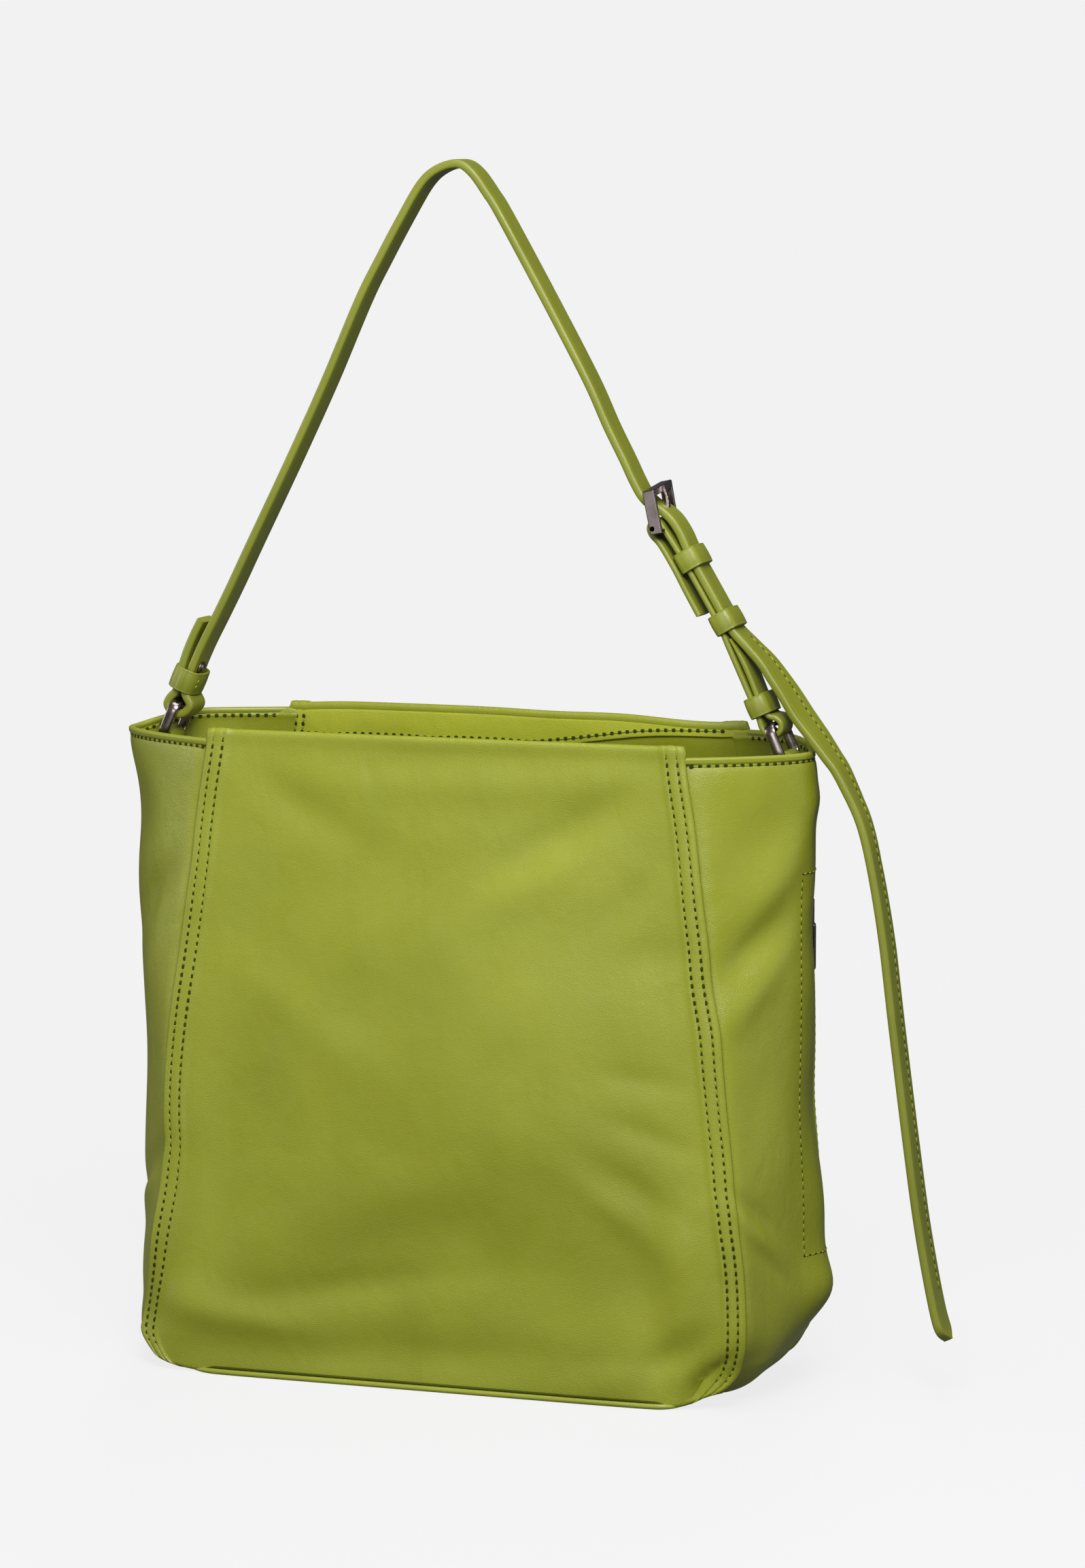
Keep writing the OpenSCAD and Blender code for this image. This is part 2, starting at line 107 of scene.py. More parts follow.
def rim_lift(side, u, z):
    """The rear half of a gusset's top edge stands higher, close to the back panel's top."""
    return (6.4 if side < 0 else 4.6) * smooth(u / 0.65) * smooth((z - 262) / 56)


def panel_half_w(s):
    """Half of a panel's width, s along the wall."""
    return gusset_at(1, 1, s, 0)[..., 0]


def panel_at(side, x, s, depth):
    """A panel's point: side -1 is the front and 1 the back, x across it, s along the wall."""
    x, s = np.broadcast_arrays(np.asarray(x, float), np.asarray(s, float))
    edge = gusset_at(1, np.ones_like(s), s, depth)
    half_w = panel_half_w(s)
    v = x / half_w
    height = edge[..., 2] - rim_lift(1, 1.0, s - CORNER_RUN + CORNER_R)
    swell = BELLY * (1 - v * v) * np.sin(math.pi * np.clip(height / FRONT_H, 0, 1)) ** 2
    across = v * edge[..., 0]
    if side > 0:  # the ends of the back panel's top edge hang a little
        near_top = smooth((height - 296) / 36)
        right = np.exp(-((across - 120) / 30) ** 2) * near_top
        left = np.exp(-((across + 124) / 26) ** 2) * near_top
        across = across + 2.6 * right
        height = height - 2.0 * right - 1.2 * left
    return np.stack([across, side * (edge[..., 1] + swell), height], -1)


# ---- How the leather has settled ----
# Each dent: its middle, its reach along its own two directions on the face and through it,
# how far it turns on the face (degrees), and where it pushes the leather.
FACE_DENTS = [
    # the front's belly, its ridge under the top edge and the valleys below it
    ((46, -60, 146), (80, 92, 30), 0, (0, -7.5, 0)),
    ((10, -52, 306), (80, 9, 26), 2, (0, -1.0, 0)),
    ((20, -52, 320), (85, 7, 26), 1, (0, 0.6, 0)),
    ((-70, -55, 290), (34, 11, 26), -28, (0, 2.0, 0)),
    ((66, -55, 284), (46, 10, 26), 33, (0, 2.2, 0)),
    ((54, -56, 262), (50, 11, 26), 30, (0, -1.4, 0)),
    ((98, -55, 252), (28, 9, 26), 42, (0, 1.4, 0)),
    ((-92, -60, 216), (34, 70, 26), -6, (0, 1.6, 0)),
    ((-108, -62, 128), (26, 58, 26), -8, (0, 3.4, 0)),
    ((-78, -60, 190), (50, 12, 26), -34, (0, -1.2, 0)),
    ((-50, -64, 84), (60, 18, 26), 24, (0, -2.2, 0)),
    ((34, -64, 72), (70, 22, 26), -12, (0, 3.0, 0)),
    ((-46, -64, 50), (60, 9, 26), 10, (0, 1.8, 0)),
    ((-88, -64, 28), (40, 9, 26), -8, (0, -1.6, 0)),
    # creases that run into the right seam
    ((112, -62, 164), (20, 6.5, 26), -8, (0, 0.8, 0)),
    ((112, -62, 138), (22, 6.0, 26), -20, (0, 1.0, 0)),
    ((108, -62, 110), (26, 7.0, 26), -32, (0, 1.2, 0)),
    ((100, -62, 96), (28, 7.0, 26), -38, (0, -1.2, 0)),
    ((118, -62, 226), (16, 9.0, 26), 14, (0, 0.8, 0)),
    # the upright ridge left of the lower right seam, and the hollow beside it
    ((130, -62, 70), (9, 40, 26), 4, (0, -3.4, 0)),
    ((112, -62, 56), (10, 34, 26), 12, (0, 2.6, 0)),
    ((126, -62, 26), (20, 8, 26), 38, (0, 3.0, 0)),
    ((104, -62, 14), (26, 9, 26), 12, (0, -1.6, 0)),
    ((-128, -62, 34), (26, 12, 26), -14, (0, -2.4, 0)),
    ((0, -63, 18), (120, 11, 26), 0, (0, 1.8, 0)),
    # the back
    ((-20, 60, 180), (92, 105, 30), 0, (0, 4.0, 0)),
    ((-10, 54, 312), (100, 9, 26), -1, (0, 1.6, 0)),
    ((98, 53, 330), (34, 22, 26), 0, (0, -4.0, -1.6)),
    ((30, 53, 333), (30, 12, 26), 0, (0, -1.0, -0.9)),
    ((-72, 56, 280), (50, 10, 26), -30, (0, -2.2, 0)),
    ((40, 58, 250), (60, 12, 26), 24, (0, -2.0, 0)),
    ((96, 60, 150), (32, 60, 26), 8, (0, -2.6, 0)),
    ((-90, 63, 92), (56, 16, 26), 22, (0, -2.4, 0)),
    ((30, 63, 70), (66, 20, 26), -8, (0, 1.8, 0)),
    ((-40, 63, 26), (110, 12, 26), 0, (0, -1.6, 0)),
    # where the seams lie
    ((-127, -52, 325), (30, 30, 30), 0, (2.6, 0, 0)),
    ((-130, -58, 240), (26, 70, 30), 0, (3.4, 0, 0)),
    ((-150, -60, 98), (30, 46, 30), 0, (7.8, 0.8, 0)),
    ((-160, -62, 50), (28, 22, 26), 0, (3.0, 0, 0)),
    ((127, -52, 325), (30, 26, 30), 0, (-1.6, 0, 0)),
    ((150, -58, 160), (22, 80, 26), 0, (2.8, 0, 0)),
    ((146, -60, 70), (22, 30, 26), 0, (2.4, -0.8, 0)),
    ((-127, 50, 330), (26, 46, 26), 0, (9.0, 0, 0)),
    # pinched bottom corners
    ((160, -60, 8), (24, 18, 20), 35, (-7.0, 7.0, 2.0)),
    ((146, -62, 12), (16, 3.5, 20), 50, (0, 3.0, 0)),
    ((-168, -64, 22), (18, 30, 22), 0, (3.0, 9.0, 0.5)),
    ((-168, -62, 0), (26, 16, 34), 0, (3.0, 0, 6.4)),
    ((152, -62, 0), (15, 16, 30), 0, (-1.0, 0, 4.0)),
    ((160, 60, 10), (20, 14, 20), 40, (-4.4, -5.0, 2.0)),
    ((-160, 60, 10), (20, 14, 20), -40, (4.4, -5.0, 2.0)),
]
SIDE_DENTS = [
    # right gusset: along Y and Z on its face, with X through it
    ((152, -34, 232), (24, 8, 30), 48, (-3.6, 1.6, 0)),
    ((148, -38, 208), (26, 7, 30), 52, (2.4, -1.0, 0)),
    ((160, -26, 262), (26, 8, 30), 56, (2.4, -0.8, 0)),
    ((168, -30, 285), (18, 10, 30), 66, (-2.4, 0.6, 0)),
    ((156, -44, 150), (14, 24, 26), 0, (-1.6, 0.6, 0)),
    ((160, -44, 96), (18, 4, 26), -44, (-1.6, 0.8, 0)),
    ((160, -42, 82), (20, 4, 26), -50, (1.2, -0.5, 0)),
    ((162, -40, 72), (18, 4, 26), -42, (-1.6, 0.8, 0)),
    ((178, 4, 88), (18, 36, 30), 0, (6.8, 0, 0)),
    ((176, 4, 52), (20, 17, 30), 0, (9.5, 0, 0)),
    ((190, 8, 0), (74, 24, 30), 0, (-12.0, 0, 19.0)),
    ((182, 6, 299), (16, 9, 26), 0, (2.0, 0, 0)),
    ((184, 6, 326), (16, 8, 26), 0, (-2.6, 0, 0)),
    ((176, 10, 236), (20, 22, 26), 0, (-2.0, 0, 0)),
    ((176, 8, 148), (20, 18, 26), 0, (-1.4, 0, 0)),
    ((174, 34, 76), (11, 22, 30), 0, (-1.6, 0, 0)),
    ((180, 24, 302), (9, 16, 26), 0, (2.6, 0, 0)),
    ((184, 4, 290), (6, 22, 26), 0, (-1.8, 0, 0)),
    # left gusset
    ((-168, -20, 164), (30, 46, 26), 0, (3.6, 0, 0)),
    ((-172, -26, 76), (30, 16, 26), 0, (1.8, 0, 0)),
    ((-176, -20, 276), (26, 18, 26), 0, (1.6, 0, 0)),
    ((-184, -6, 318), (30, 16, 26), 0, (-2.6, 0, 0)),
    ((-158, -30, 240), (26, 8, 30), -50, (3.2, 1.4, 0)),
    ((-154, -34, 204), (30, 10, 30), -64, (-1.8, -1.2, 0)),
    ((-172, -14, 288), (14, 22, 26), 0, (2.4, 0.6, 0)),
    ((-158, -38, 100), (24, 6, 26), -40, (2.6, 1.2, 0)),
    ((-160, -34, 84), (22, 6, 26), -44, (-1.8, -0.8, 0)),
    ((-166, 22, 180), (32, 10, 30), -56, (2.8, -1.2, 0)),
    ((-160, 30, 110), (30, 9, 26), -46, (2.4, -1.2, 0)),
    ((-168, 0, 30), (34, 8, 26), -4, (2.4, 0, 0)),
]
RIPPLE = 0.45                   # height of the leather's own slight unevenness


def settle(p):
    """Moves points of the bag's body the way its leather has settled."""
    p = np.array(p, float)
    moved = p.copy()
    for dents, first, through in ((FACE_DENTS, 0, 1), (SIDE_DENTS, 1, 0)):
        for centre, (along_r, across_r, deep_r), turn, push in dents:
            c, s = math.cos(math.radians(turn)), math.sin(math.radians(turn))
            away = p - np.array(centre, float)
            along = c * away[..., first] + s * away[..., 2]
            across = -s * away[..., first] + c * away[..., 2]
            weight = np.exp(-(along / along_r) ** 2 - (across / across_r) ** 2
                            - (away[..., through] / deep_r) ** 2)
            moved += weight[..., None] * np.array(push, float)
    x, y, z = p[..., 0], p[..., 1], p[..., 2]
    wave = (np.sin(x / 17 + z / 23 + 1.3) * np.sin(z / 19 - x / 31) + np.sin(y / 13 + z / 29)
            * np.sin(x / 37 - z / 15 + 0.6))
    calm = smooth(z / 20) * smooth((FRONT_H - z) / 20)
    moved[..., 1] += np.sign(y) * RIPPLE * wave * calm * smooth((np.abs(y) - 30) / 15)
    moved[..., 2] = np.maximum(moved[..., 2], 0.0)
    return moved


# ---- Materials ----
def new_material(name):
    material = bpy.data.materials.new(name)
    material.use_nodes = True
    shader = material.node_tree.nodes["Principled BSDF"]
    return material, material.node_tree, shader


def noise(tree, coords, scale, detail=4.0, distortion=0.0, stretch=None):
    """A soft random pattern; stretch scales its coordinates."""
    node = tree.nodes.new("ShaderNodeTexNoise")
    node.inputs["Scale"].default_value = scale
    node.inputs["Detail"].default_value = detail
    node.inputs["Distortion"].default_value = distortion
    source = coords
    if stretch:
        mapping = tree.nodes.new("ShaderNodeMapping")
        mapping.inputs["Scale"].default_value = stretch
        tree.links.new(coords, mapping.inputs["Vector"])
        source = mapping.outputs["Vector"]
    tree.links.new(source, node.inputs["Vector"])
    return node.outputs["Fac"]


def ramp(tree, source, low, high, start, end):
    """Colour or grey that goes from start to end as source goes from low to high."""
    node = tree.nodes.new("ShaderNodeValToRGB")
    node.color_ramp.elements[0].position = low
    node.color_ramp.elements[1].position = high
    node.color_ramp.elements[0].color = (*start, 1)
    node.color_ramp.elements[1].color = (*end, 1)
    tree.links.new(source, node.inputs["Fac"])
    return node.outputs["Color"]


def bump(tree, height, depth_mm, strength, under=None):
    """A normal with a height laid over the bumps that are under it."""
    node = tree.nodes.new("ShaderNodeBump")
    node.inputs["Distance"].default_value = depth_mm * MM
    node.inputs["Strength"].default_value = strength
    tree.links.new(height, node.inputs["Height"])
    if under is not None:
        tree.links.new(under, node.inputs["Normal"])
    return node.outputs["Normal"]


def object_coords(tree):
    return tree.nodes.new("ShaderNodeTexCoord").outputs["Object"]


def vary(tree, socket, source, start, end, spread=0.2):
    """Takes a socket from start to end over a spread of noise each side of its middle."""
    tree.links.new(ramp(tree, source, 0.5 - spread, 0.5 + spread, start, end), socket)


def leather(name, dark, light, roughness=0.5, grain=0.8, crease=0.5, cell_mm=0.95, gloss=0.5):
    """Soft grained leather: mottled colour, raised pebbles, fine folds and soft waves."""
    material, tree, shader = new_material(name)
    coords = object_coords(tree)
    vary(tree, shader.inputs["Base Color"], noise(tree, coords, 13, 5, 0.6), dark, light, 0.18)
    vary(tree, shader.inputs["Roughness"], noise(tree, coords, 60, 4), (roughness - 0.07,) * 3,
         (roughness + 0.07,) * 3)
    cells = tree.nodes.new("ShaderNodeTexVoronoi")
    cells.feature = "DISTANCE_TO_EDGE"
    cells.inputs["Scale"].default_value = 1 / (cell_mm * MM)
    tree.links.new(coords, cells.inputs["Vector"])
    pebbles = ramp(tree, cells.outputs["Distance"], 0.0, 0.28, (0, 0, 0), (1, 1, 1))
    folds = noise(tree, coords, 120, 5, 0.8, (1.0, 1.0, 0.6))
    soft = noise(tree, coords, 34, 3, 0.5, (1.0, 1.0, 0.55))
    normal = bump(tree, soft, 2.0, crease)
    normal = bump(tree, folds, 0.4, crease, normal)
    normal = bump(tree, pebbles, 0.075, grain, normal)
    tree.links.new(normal, shader.inputs["Normal"])
    shader.inputs["Specular IOR Level"].default_value = gloss
    return material


def metal(name, dark, light, roughness):
    """Plated metal with a slight unevenness in its polish."""
    material, tree, shader = new_material(name)
    coords = object_coords(tree)
    vary(tree, shader.inputs["Base Color"], noise(tree, coords, 90, 3), dark, light)
    vary(tree, shader.inputs["Roughness"], noise(tree, coords, 160, 3), (roughness - 0.05,) * 3,
         (roughness + 0.06,) * 3)
    shader.inputs["Metallic"].default_value = 1.0
    return material


def cloth(name, dark, light, thread_mm=0.5):
    """Woven cloth: threads that cross, one set along each axis."""
    material, tree, shader = new_material(name)
    coords = object_coords(tree)
    vary(tree, shader.inputs["Base Color"], noise(tree, coords, 30, 5), dark, light)
    normal = None
    for direction in ("X", "Y", "Z"):
        wave = tree.nodes.new("ShaderNodeTexWave")
        wave.bands_direction = direction
        wave.inputs["Scale"].default_value = 0.314 / (thread_mm * MM)
        wave.inputs["Distortion"].default_value = 0.6
        tree.links.new(coords, wave.inputs["Vector"])
        normal = bump(tree, wave.outputs["Fac"], 0.12, 0.35, normal)
    tree.links.new(normal, shader.inputs["Normal"])
    shader.inputs["Roughness"].default_value = 0.85
    shader.inputs["Sheen Weight"].default_value = 0.15
    return material


def fibre_board(name, dark, light):
    """Dull pressed board with short fibres."""
    material, tree, shader = new_material(name)
    coords = object_coords(tree)
    vary(tree, shader.inputs["Base Color"], noise(tree, coords, 400, 6, 1.0), dark, light, 0.15)
    tree.links.new(bump(tree, noise(tree, coords, 900, 4), 0.1, 0.5), shader.inputs["Normal"])
    shader.inputs["Roughness"].default_value = 0.8
    return material


BODY_LEATHER = leather("lime_nappa", (0.186, 0.208, 0.008), (0.220, 0.243, 0.012), 0.45, gloss=0.45)
# painted light: the body's lime leather made about half again as light for the facings inside the
# mouth
FACING_PAINTED_LIGHT = leather("facing_nappa_painted_light", (0.290, 0.318, 0.015), (0.335, 0.365, 0.024), 0.5)
STRAP_LEATHER = leather("strap_leather", (0.142, 0.160, 0.009), (0.174, 0.194, 0.013), 0.44, 0.35,
                        0.2, 0.8)
EDGE_LEATHER = leather("rolled_edge", (0.196, 0.218, 0.012), (0.228, 0.252, 0.018), 0.46, 0.35,
                       0.25)
CUT_EDGE = leather("painted_edge", (0.080, 0.092, 0.008), (0.105, 0.120, 0.011), 0.55, 0.2, 0.2)
# painted shadow: near-black leather for the line where the piping meets the panel
SEAM_SHADE = leather("seam_shade", (0.036, 0.044, 0.003), (0.050, 0.060, 0.005), 0.8, 0.1, 0.1,
                     gloss=0.1)
THREAD = leather("thread", (0.190, 0.212, 0.012), (0.240, 0.268, 0.018), 0.55, 0.4, 0.2, 0.35)
# painted shade: the near-black of the shade inside each needle hole, laid on flat pods
NEEDLE_HOLE_SHADE = leather("needle_hole_shade", (0.020, 0.027, 0.001), (0.030, 0.040, 0.002), 0.9, 0.1, 0.1,
                      gloss=0.1)
GUNMETAL = metal("gunmetal", (0.190, 0.160, 0.156), (0.250, 0.208, 0.200), 0.25)
LINING = cloth("lining_twill", (0.23, 0.22, 0.15), (0.29, 0.28, 0.20))
ZIP_TAPE = cloth("zip_tape_weave", (0.12, 0.15, 0.02), (0.16, 0.20, 0.03), 0.35)
BOARD = fibre_board("stiff_board", (0.05, 0.045, 0.04), (0.11, 0.1, 0.09))


# ---- Meshes ----
def add_mesh(name, points, faces, materials, body, replaced=(), face_materials=None,
             sharp_deg=50):
    """Makes a smooth closed mesh from points in millimetres, and says what it rides on."""
    mesh = bpy.data.meshes.new(name)
    mesh.from_pydata((np.asarray(points, float) * MM).tolist(), [], faces)
    for material in materials:
        mesh.materials.append(material)
    if face_materials is not None:
        mesh.polygons.foreach_set("material_index", np.asarray(face_materials, np.int32))
    mesh.polygons.foreach_set("use_smooth", np.ones(len(mesh.polygons), bool))
    edit = bmesh.new()
    edit.from_mesh(mesh)
    bmesh.ops.recalc_face_normals(edit, faces=edit.faces)
    edit.to_mesh(mesh)
    edit.free()
    mesh.set_sharp_from_angle(angle=math.radians(sharp_deg))
    obj = bpy.data.objects.new(name, mesh)
    bpy.context.scene.collection.objects.link(obj)
    if body:
        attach(obj, body)
    if replaced:
        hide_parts(*replaced)
    return obj


def slab(outer, inner, edge_steps=4):
    """Points and faces of a skin between two grids, with half-round edges."""
    rows, cols = outer.shape[:2]
    ids = np.arange(rows * cols).reshape(rows, cols)
    quads = np.stack([ids[:-1, :-1], ids[:-1, 1:], ids[1:, 1:], ids[1:, :-1]], -1).reshape(-1, 4)
    border = np.concatenate([ids[0, :-1], ids[:-1, -1], ids[-1, :0:-1], ids[:0:-1, 0]])
    r, c = border // cols, border % cols
    within = np.clip(r, 1, rows - 2) * cols + np.clip(c, 1, cols - 2)
    flat_out, flat_in = outer.reshape(-1, 3), inner.reshape(-1, 3)
    away = unit(flat_out[border] - flat_out[within])
    thick = np.linalg.norm(flat_out[border] - flat_in[border], axis=-1, keepdims=True)
    points = [flat_out, flat_in]
    faces = quads.tolist() + (quads[:, ::-1] + rows * cols).tolist()
    last = border
    first_new = 2 * rows * cols
    n = len(border)
    for step in range(1, edge_steps + 1):
        if step < edge_steps:
            angle = math.pi * step / edge_steps
            ring = mix(flat_out[border], flat_in[border], (1 - math.cos(angle)) / 2)
            points.append(ring + away * thick / 2 * math.sin(angle))
            here = np.arange(first_new, first_new + n)
            first_new += n
        else:
            here = border + rows * cols
        after_last, after_here = np.roll(last, -1), np.roll(here, -1)
        faces += np.stack([last, here, after_here, after_last], -1).tolist()
        last = here
    return np.concatenate(points), faces


def tube(rings, caps=True):
    """Points and faces of a closed tube through rings of points, all with the same count."""
    count, n = rings.shape[:2]
    ids = np.arange(count * n).reshape(count, n)
    after = np.roll(ids, -1, axis=1)
    faces = np.stack([ids[:-1], after[:-1], after[1:], ids[1:]], -1).reshape(-1, 4).tolist()
    points = rings.reshape(-1, 3)
    if caps:
        middles = [rings[0].mean(0), rings[-1].mean(0)]
        points = np.concatenate([points, middles])
        for ring, centre in ((0, count * n), (-1, count * n + 1)):
            faces += [[int(ids[ring, k]), int(after[ring, k]), centre] for k in range(n)]
    return points, faces


def loop_tube(rings):
    """As tube, but the last ring joins the first."""
    count, n = rings.shape[:2]
    ids = np.arange(count * n).reshape(count, n)
    after = np.roll(ids, -1, axis=1)
    faces = np.stack([ids, after, np.roll(after, -1, axis=0), np.roll(ids, -1, axis=0)], -1)
    return rings.reshape(-1, 3), faces.reshape(-1, 4).tolist()


def joined(parts):
    """The points and faces of several meshes as one."""
    faces, used = [], 0
    for points, part_faces in parts:
        faces += [[used + k for k in face] for face in part_faces]
        used += len(points)
    return np.concatenate([points for points, _ in parts]), faces


def bag_skin(name, outer, inner, material, node):
    """A skin of the bag's body between two grids, settled with the rest of it."""
    points, faces = slab(settle(outer), settle(inner))
    return add_mesh(name, points, faces, [material], "bag", [node])


# ---- Thread ----
AROUND = 6                      # sides of a stitch or needle hole
STITCH_LIFT, HOLE_LIFT = 0.10, 0.14


def pod(length, width, height):
    """A small long pod: its points along x, and its faces."""
    turn = np.arange(AROUND) * 2 * math.pi / AROUND
    points = [(-length / 2, 0, 0)]
    for share, swell in ((-0.72, 0.7), (0.0, 1.0), (0.72, 0.7)):
        for angle in turn:
            points.append((share * length / 2, swell * width * math.cos(angle),
                           swell * height * math.sin(angle)))
    points.append((length / 2, 0, 0))
    faces = []
    for k in range(AROUND):
        j = (k + 1) % AROUND
        faces.append([0, 1 + j, 1 + k])
        for ring in (0, 1):
            a, b = 1 + ring * AROUND, 1 + (ring + 1) * AROUND
            faces.append([a + k, a + j, b + j, b + k])
        a = 1 + 2 * AROUND
        faces.append([a + k, a + j, len(points) - 1])
    return np.array(points, float), faces


STITCH = pod(2.9, 0.4, 0.4)
HOLE = pod(2.5, 1.0, 0.18)
FINE_HOLE = pod(1.6, 0.5, 0.12)


def sample(line, at):
    """Points at distances along a line of points."""
    steps = np.linalg.norm(np.diff(line, axis=0), axis=1)
    length = np.concatenate([[0], np.cumsum(steps)])
    return np.stack([np.interp(at, length, line[:, k]) for k in range(3)], -1), length[-1]


def thread_row(line, raised, first=0.0):
    """Places of the stitches and needle holes along a line; raised is the line off the face."""
    _, length = sample(line, np.array([0.0]))
    _, raised_length = sample(raised, np.array([0.0]))
    count = max(1, int((length - first) / STITCH_PITCH))
    marks = []
    for kind, offset in (("stitch", 0.5), ("hole", 0.0)):
        at = first + (np.arange(count + (kind == "hole")) + offset) * STITCH_PITCH
        at = at[at < length]
        centre, _ = sample(line, at)
        ahead, _ = sample(line, at + 1.0)
        behind, _ = sample(line, np.maximum(at - 1.0, 0))
        top, _ = sample(raised, at / length * raised_length)
        marks.append((kind, centre, unit(ahead - behind), unit(top - centre)))
    return marks


def sew(name, rows, body, fine=False):
    """One mesh of all the thread in a group of rows; fine thread leaves smaller holes."""
    # each needle hole is a flat dark pod of painted shade, for the shade inside the hole
    looks = {"stitch": (STITCH, STITCH_LIFT, 0),
             "hole": (FINE_HOLE if fine else HOLE, HOLE_LIFT, 1)}
    parts, kinds = [], []
    for marks in rows:
        for kind, centre, along, up in marks:
            (shape, shape_faces), lift, material = looks[kind]
            up = unit(up - along * (up * along).sum(-1, keepdims=True))
            across = np.cross(up, along)
            for c, a, b, n in zip(centre, along, across, up):
                parts.append((c + lift * n + shape @ np.stack([a, b, n]), shape_faces))
                kinds += [material] * len(shape_faces)
    points, faces = joined(parts)
    return add_mesh(name, points, faces, [THREAD, NEEDLE_HOLE_SHADE], body, face_materials=kinds,
                    sharp_deg=80)


def row_on(fn, t, depth, lift):
    """A stitch row: fn(t, depth) gives the face's points, and lift is towards the outside."""
    return thread_row(settle(fn(t, depth)), settle(fn(t, depth + lift)))


# ---- Panels ----
SEAM_IN, SEAM_OUT = 7.7, 2.2    # distances of the two stitch rows from a panel's edge
FIRST_STITCH = 18.0             # how far up the wall a seam's stitches start
EDGE_COLUMNS = [-0.9, 0.0, 0.9, 1.5, 2.2, 2.9, 3.7, 5.0, 6.2, 7.0, 7.7, 8.4, 9.4, 10.6, 12.0, 13.6]
MIDDLE_COLUMNS = 56
GROOVE_W = 0.75                 # how wide a stitch row's groove is


def groove(distance):
    """How deep a stitch row's groove is, at a distance from its middle: 1 and less."""
    return np.exp(-(distance / GROOVE_W) ** 2)


def panel_relief(from_edge, s):
    """How far a panel's outer face stands out: folded edges with sunk, puckered stitch rows."""
    raised = 1.1 * smooth((12.0 - from_edge) / 3.4)
    pulled = 0.7 + 0.3 * np.cos(2 * math.pi * (s - FIRST_STITCH) / STITCH_PITCH)
    sunk = 0.75 * (groove(from_edge - SEAM_IN) + groove(from_edge - SEAM_OUT)) * pulled
    return raised - sunk


def panel_columns(s):
    """x of each column at each level: close together at the seams, even between them."""
    half_w = panel_half_w(s)
    edge = np.array(EDGE_COLUMNS)
    inner = half_w - EDGE_COLUMNS[-1]
    middle = np.linspace(-1, 1, MIDDLE_COLUMNS)[1:-1]
    return np.concatenate([-(half_w[:, None] - edge[None, :]), inner[:, None] * middle[None, :],
                           (half_w[:, None] - edge[None, :])[:, ::-1]], axis=1)


def panel_skin(name, side, top, node):
    """A panel: its levels are half a stitch apart, so that the puckers at its seams come out."""
    top_run = run_at(top)
    half = STITCH_PITCH / 2
    s = FIRST_STITCH + half * np.arange(math.floor((top_run - FIRST_STITCH - 0.2) / half), -9, -1)
    s = np.concatenate([[top_run], s[s > 0], [0.0]])
    x = panel_columns(s)
    half_w = panel_half_w(s)[:, None]
    from_edge = half_w - np.abs(x)
    levels = np.repeat(s[:, None], x.shape[1], axis=1)
    hem = 0.35 * smooth((6 - (top_run - levels)) / 4)
    tuck = 2.2 * smooth((7 - levels) / 7)
    relief = panel_relief(from_edge, levels) + hem - tuck
    relief -= 0.5 * smooth((0.9 - from_edge) / 1.8)
    outer = panel_at(side, x, levels, 0)
    outer[..., 1] += side * relief
    thick = LEATHER_T + 1.4 * smooth((5 - (top_run - levels)) / 3)
    inner = panel_at(side, x * (1 - 0.6 / half_w), levels, 0)
    inner[..., 1] -= side * (thick + tuck * 0.6)
    return bag_skin(name, outer, inner, BODY_LEATHER, node)


def panel_row(side, which, offset, top, inside=False):
    """One upright stitch row at a panel's left (-1) or right (1) edge; inside, on its facing."""
    low = run_at(top - facing_height(side, which * MOUTH_HALF_W) + 2.6) if inside else FIRST_STITCH
    s = np.arange(low, run_at(top) - 1.2, STITCH_PITCH / 2)

    def face(levels, depth):
        half_w = panel_half_w(levels)
        p = panel_at(side, which * (half_w - offset), levels, 0)
        sunk = 0.0 if inside else panel_relief(np.full_like(levels, offset), levels)
        p[..., 1] += side * (sunk - depth)
        return p

    depth = FACING_IN if inside else 0.0
    return row_on(face, s, depth, 1.0 if inside else -1.0)


# ---- Facings inside the top of the panels ----
FACING_H, FACING_OUT, FACING_IN = 17, 1.95, 3.2


def facing_height(side, x):
    """The back facing narrows towards its right end; the front one doesn't."""
    return FACING_H - (12.0 * smooth((x - 5) / 105) if side > 0 else 0.0 * x)


def facing_skin(name, side, top, node):
    """A facing, with the slight waves of leather that is sewn along one edge only."""
    down = np.linspace(0, 1, 12)[:, None]
    across = np.linspace(-1, 1, 90)[None, :]
    height = facing_height(side, across * MOUTH_HALF_W)
    levels = run_at(top - 2.2 - down * (height - 1.4))
    half_w = panel_half_w(levels)
    x = (half_w - 1.6) * across
    from_edge = half_w - np.abs(x)
    wave = 0.25 * np.sin(x / 9.0) * smooth((top - 6 - (levels - CORNER_RUN + CORNER_R)) / 10)
    sunk = 0.3 * (groove(from_edge - SEAM_IN) + groove(from_edge - SEAM_OUT))
    outer = panel_at(side, x, levels, 0)
    inner = outer.copy()
    outer[..., 1] -= side * FACING_OUT
    inner[..., 1] -= side * (FACING_IN - sunk + wave)
    return bag_skin(name, inner, outer, FACING_PAINTED_LIGHT, node)


def facing_row(side, top):
    """The stitch row just above a facing's lower edge."""
    def face(x, depth):
        s = run_at(top - facing_height(side, x) + 2.0)
        p = panel_at(side, x, s, 0)
        p[..., 1] -= side * depth
        return p
    return row_on(face, np.linspace(-116, 116, 120), FACING_IN, 1.0)


# ---- Gussets ----
RIM_EDGE_H = 2.9
RIM_ROW = RIM_H - RIM_EDGE_H - 1.1   # height of the stitch row under the rolled edge
GUSSET_SPAN = 60.0                   # rough length of half a gusset, from seam to apex


def gusset_recess(u, z):
    """Depth of a gusset's face below the ideal one: tucked under the panels and into the rim."""
    from_seam = (1 - np.abs(u)) * GUSSET_SPAN
    under_panel = 1.9 * np.exp(-(from_seam / 2.6) ** 2)
    sunk = 0.5 * groove((z - RIM_ROW) / 1.3)
    return under_panel + sunk


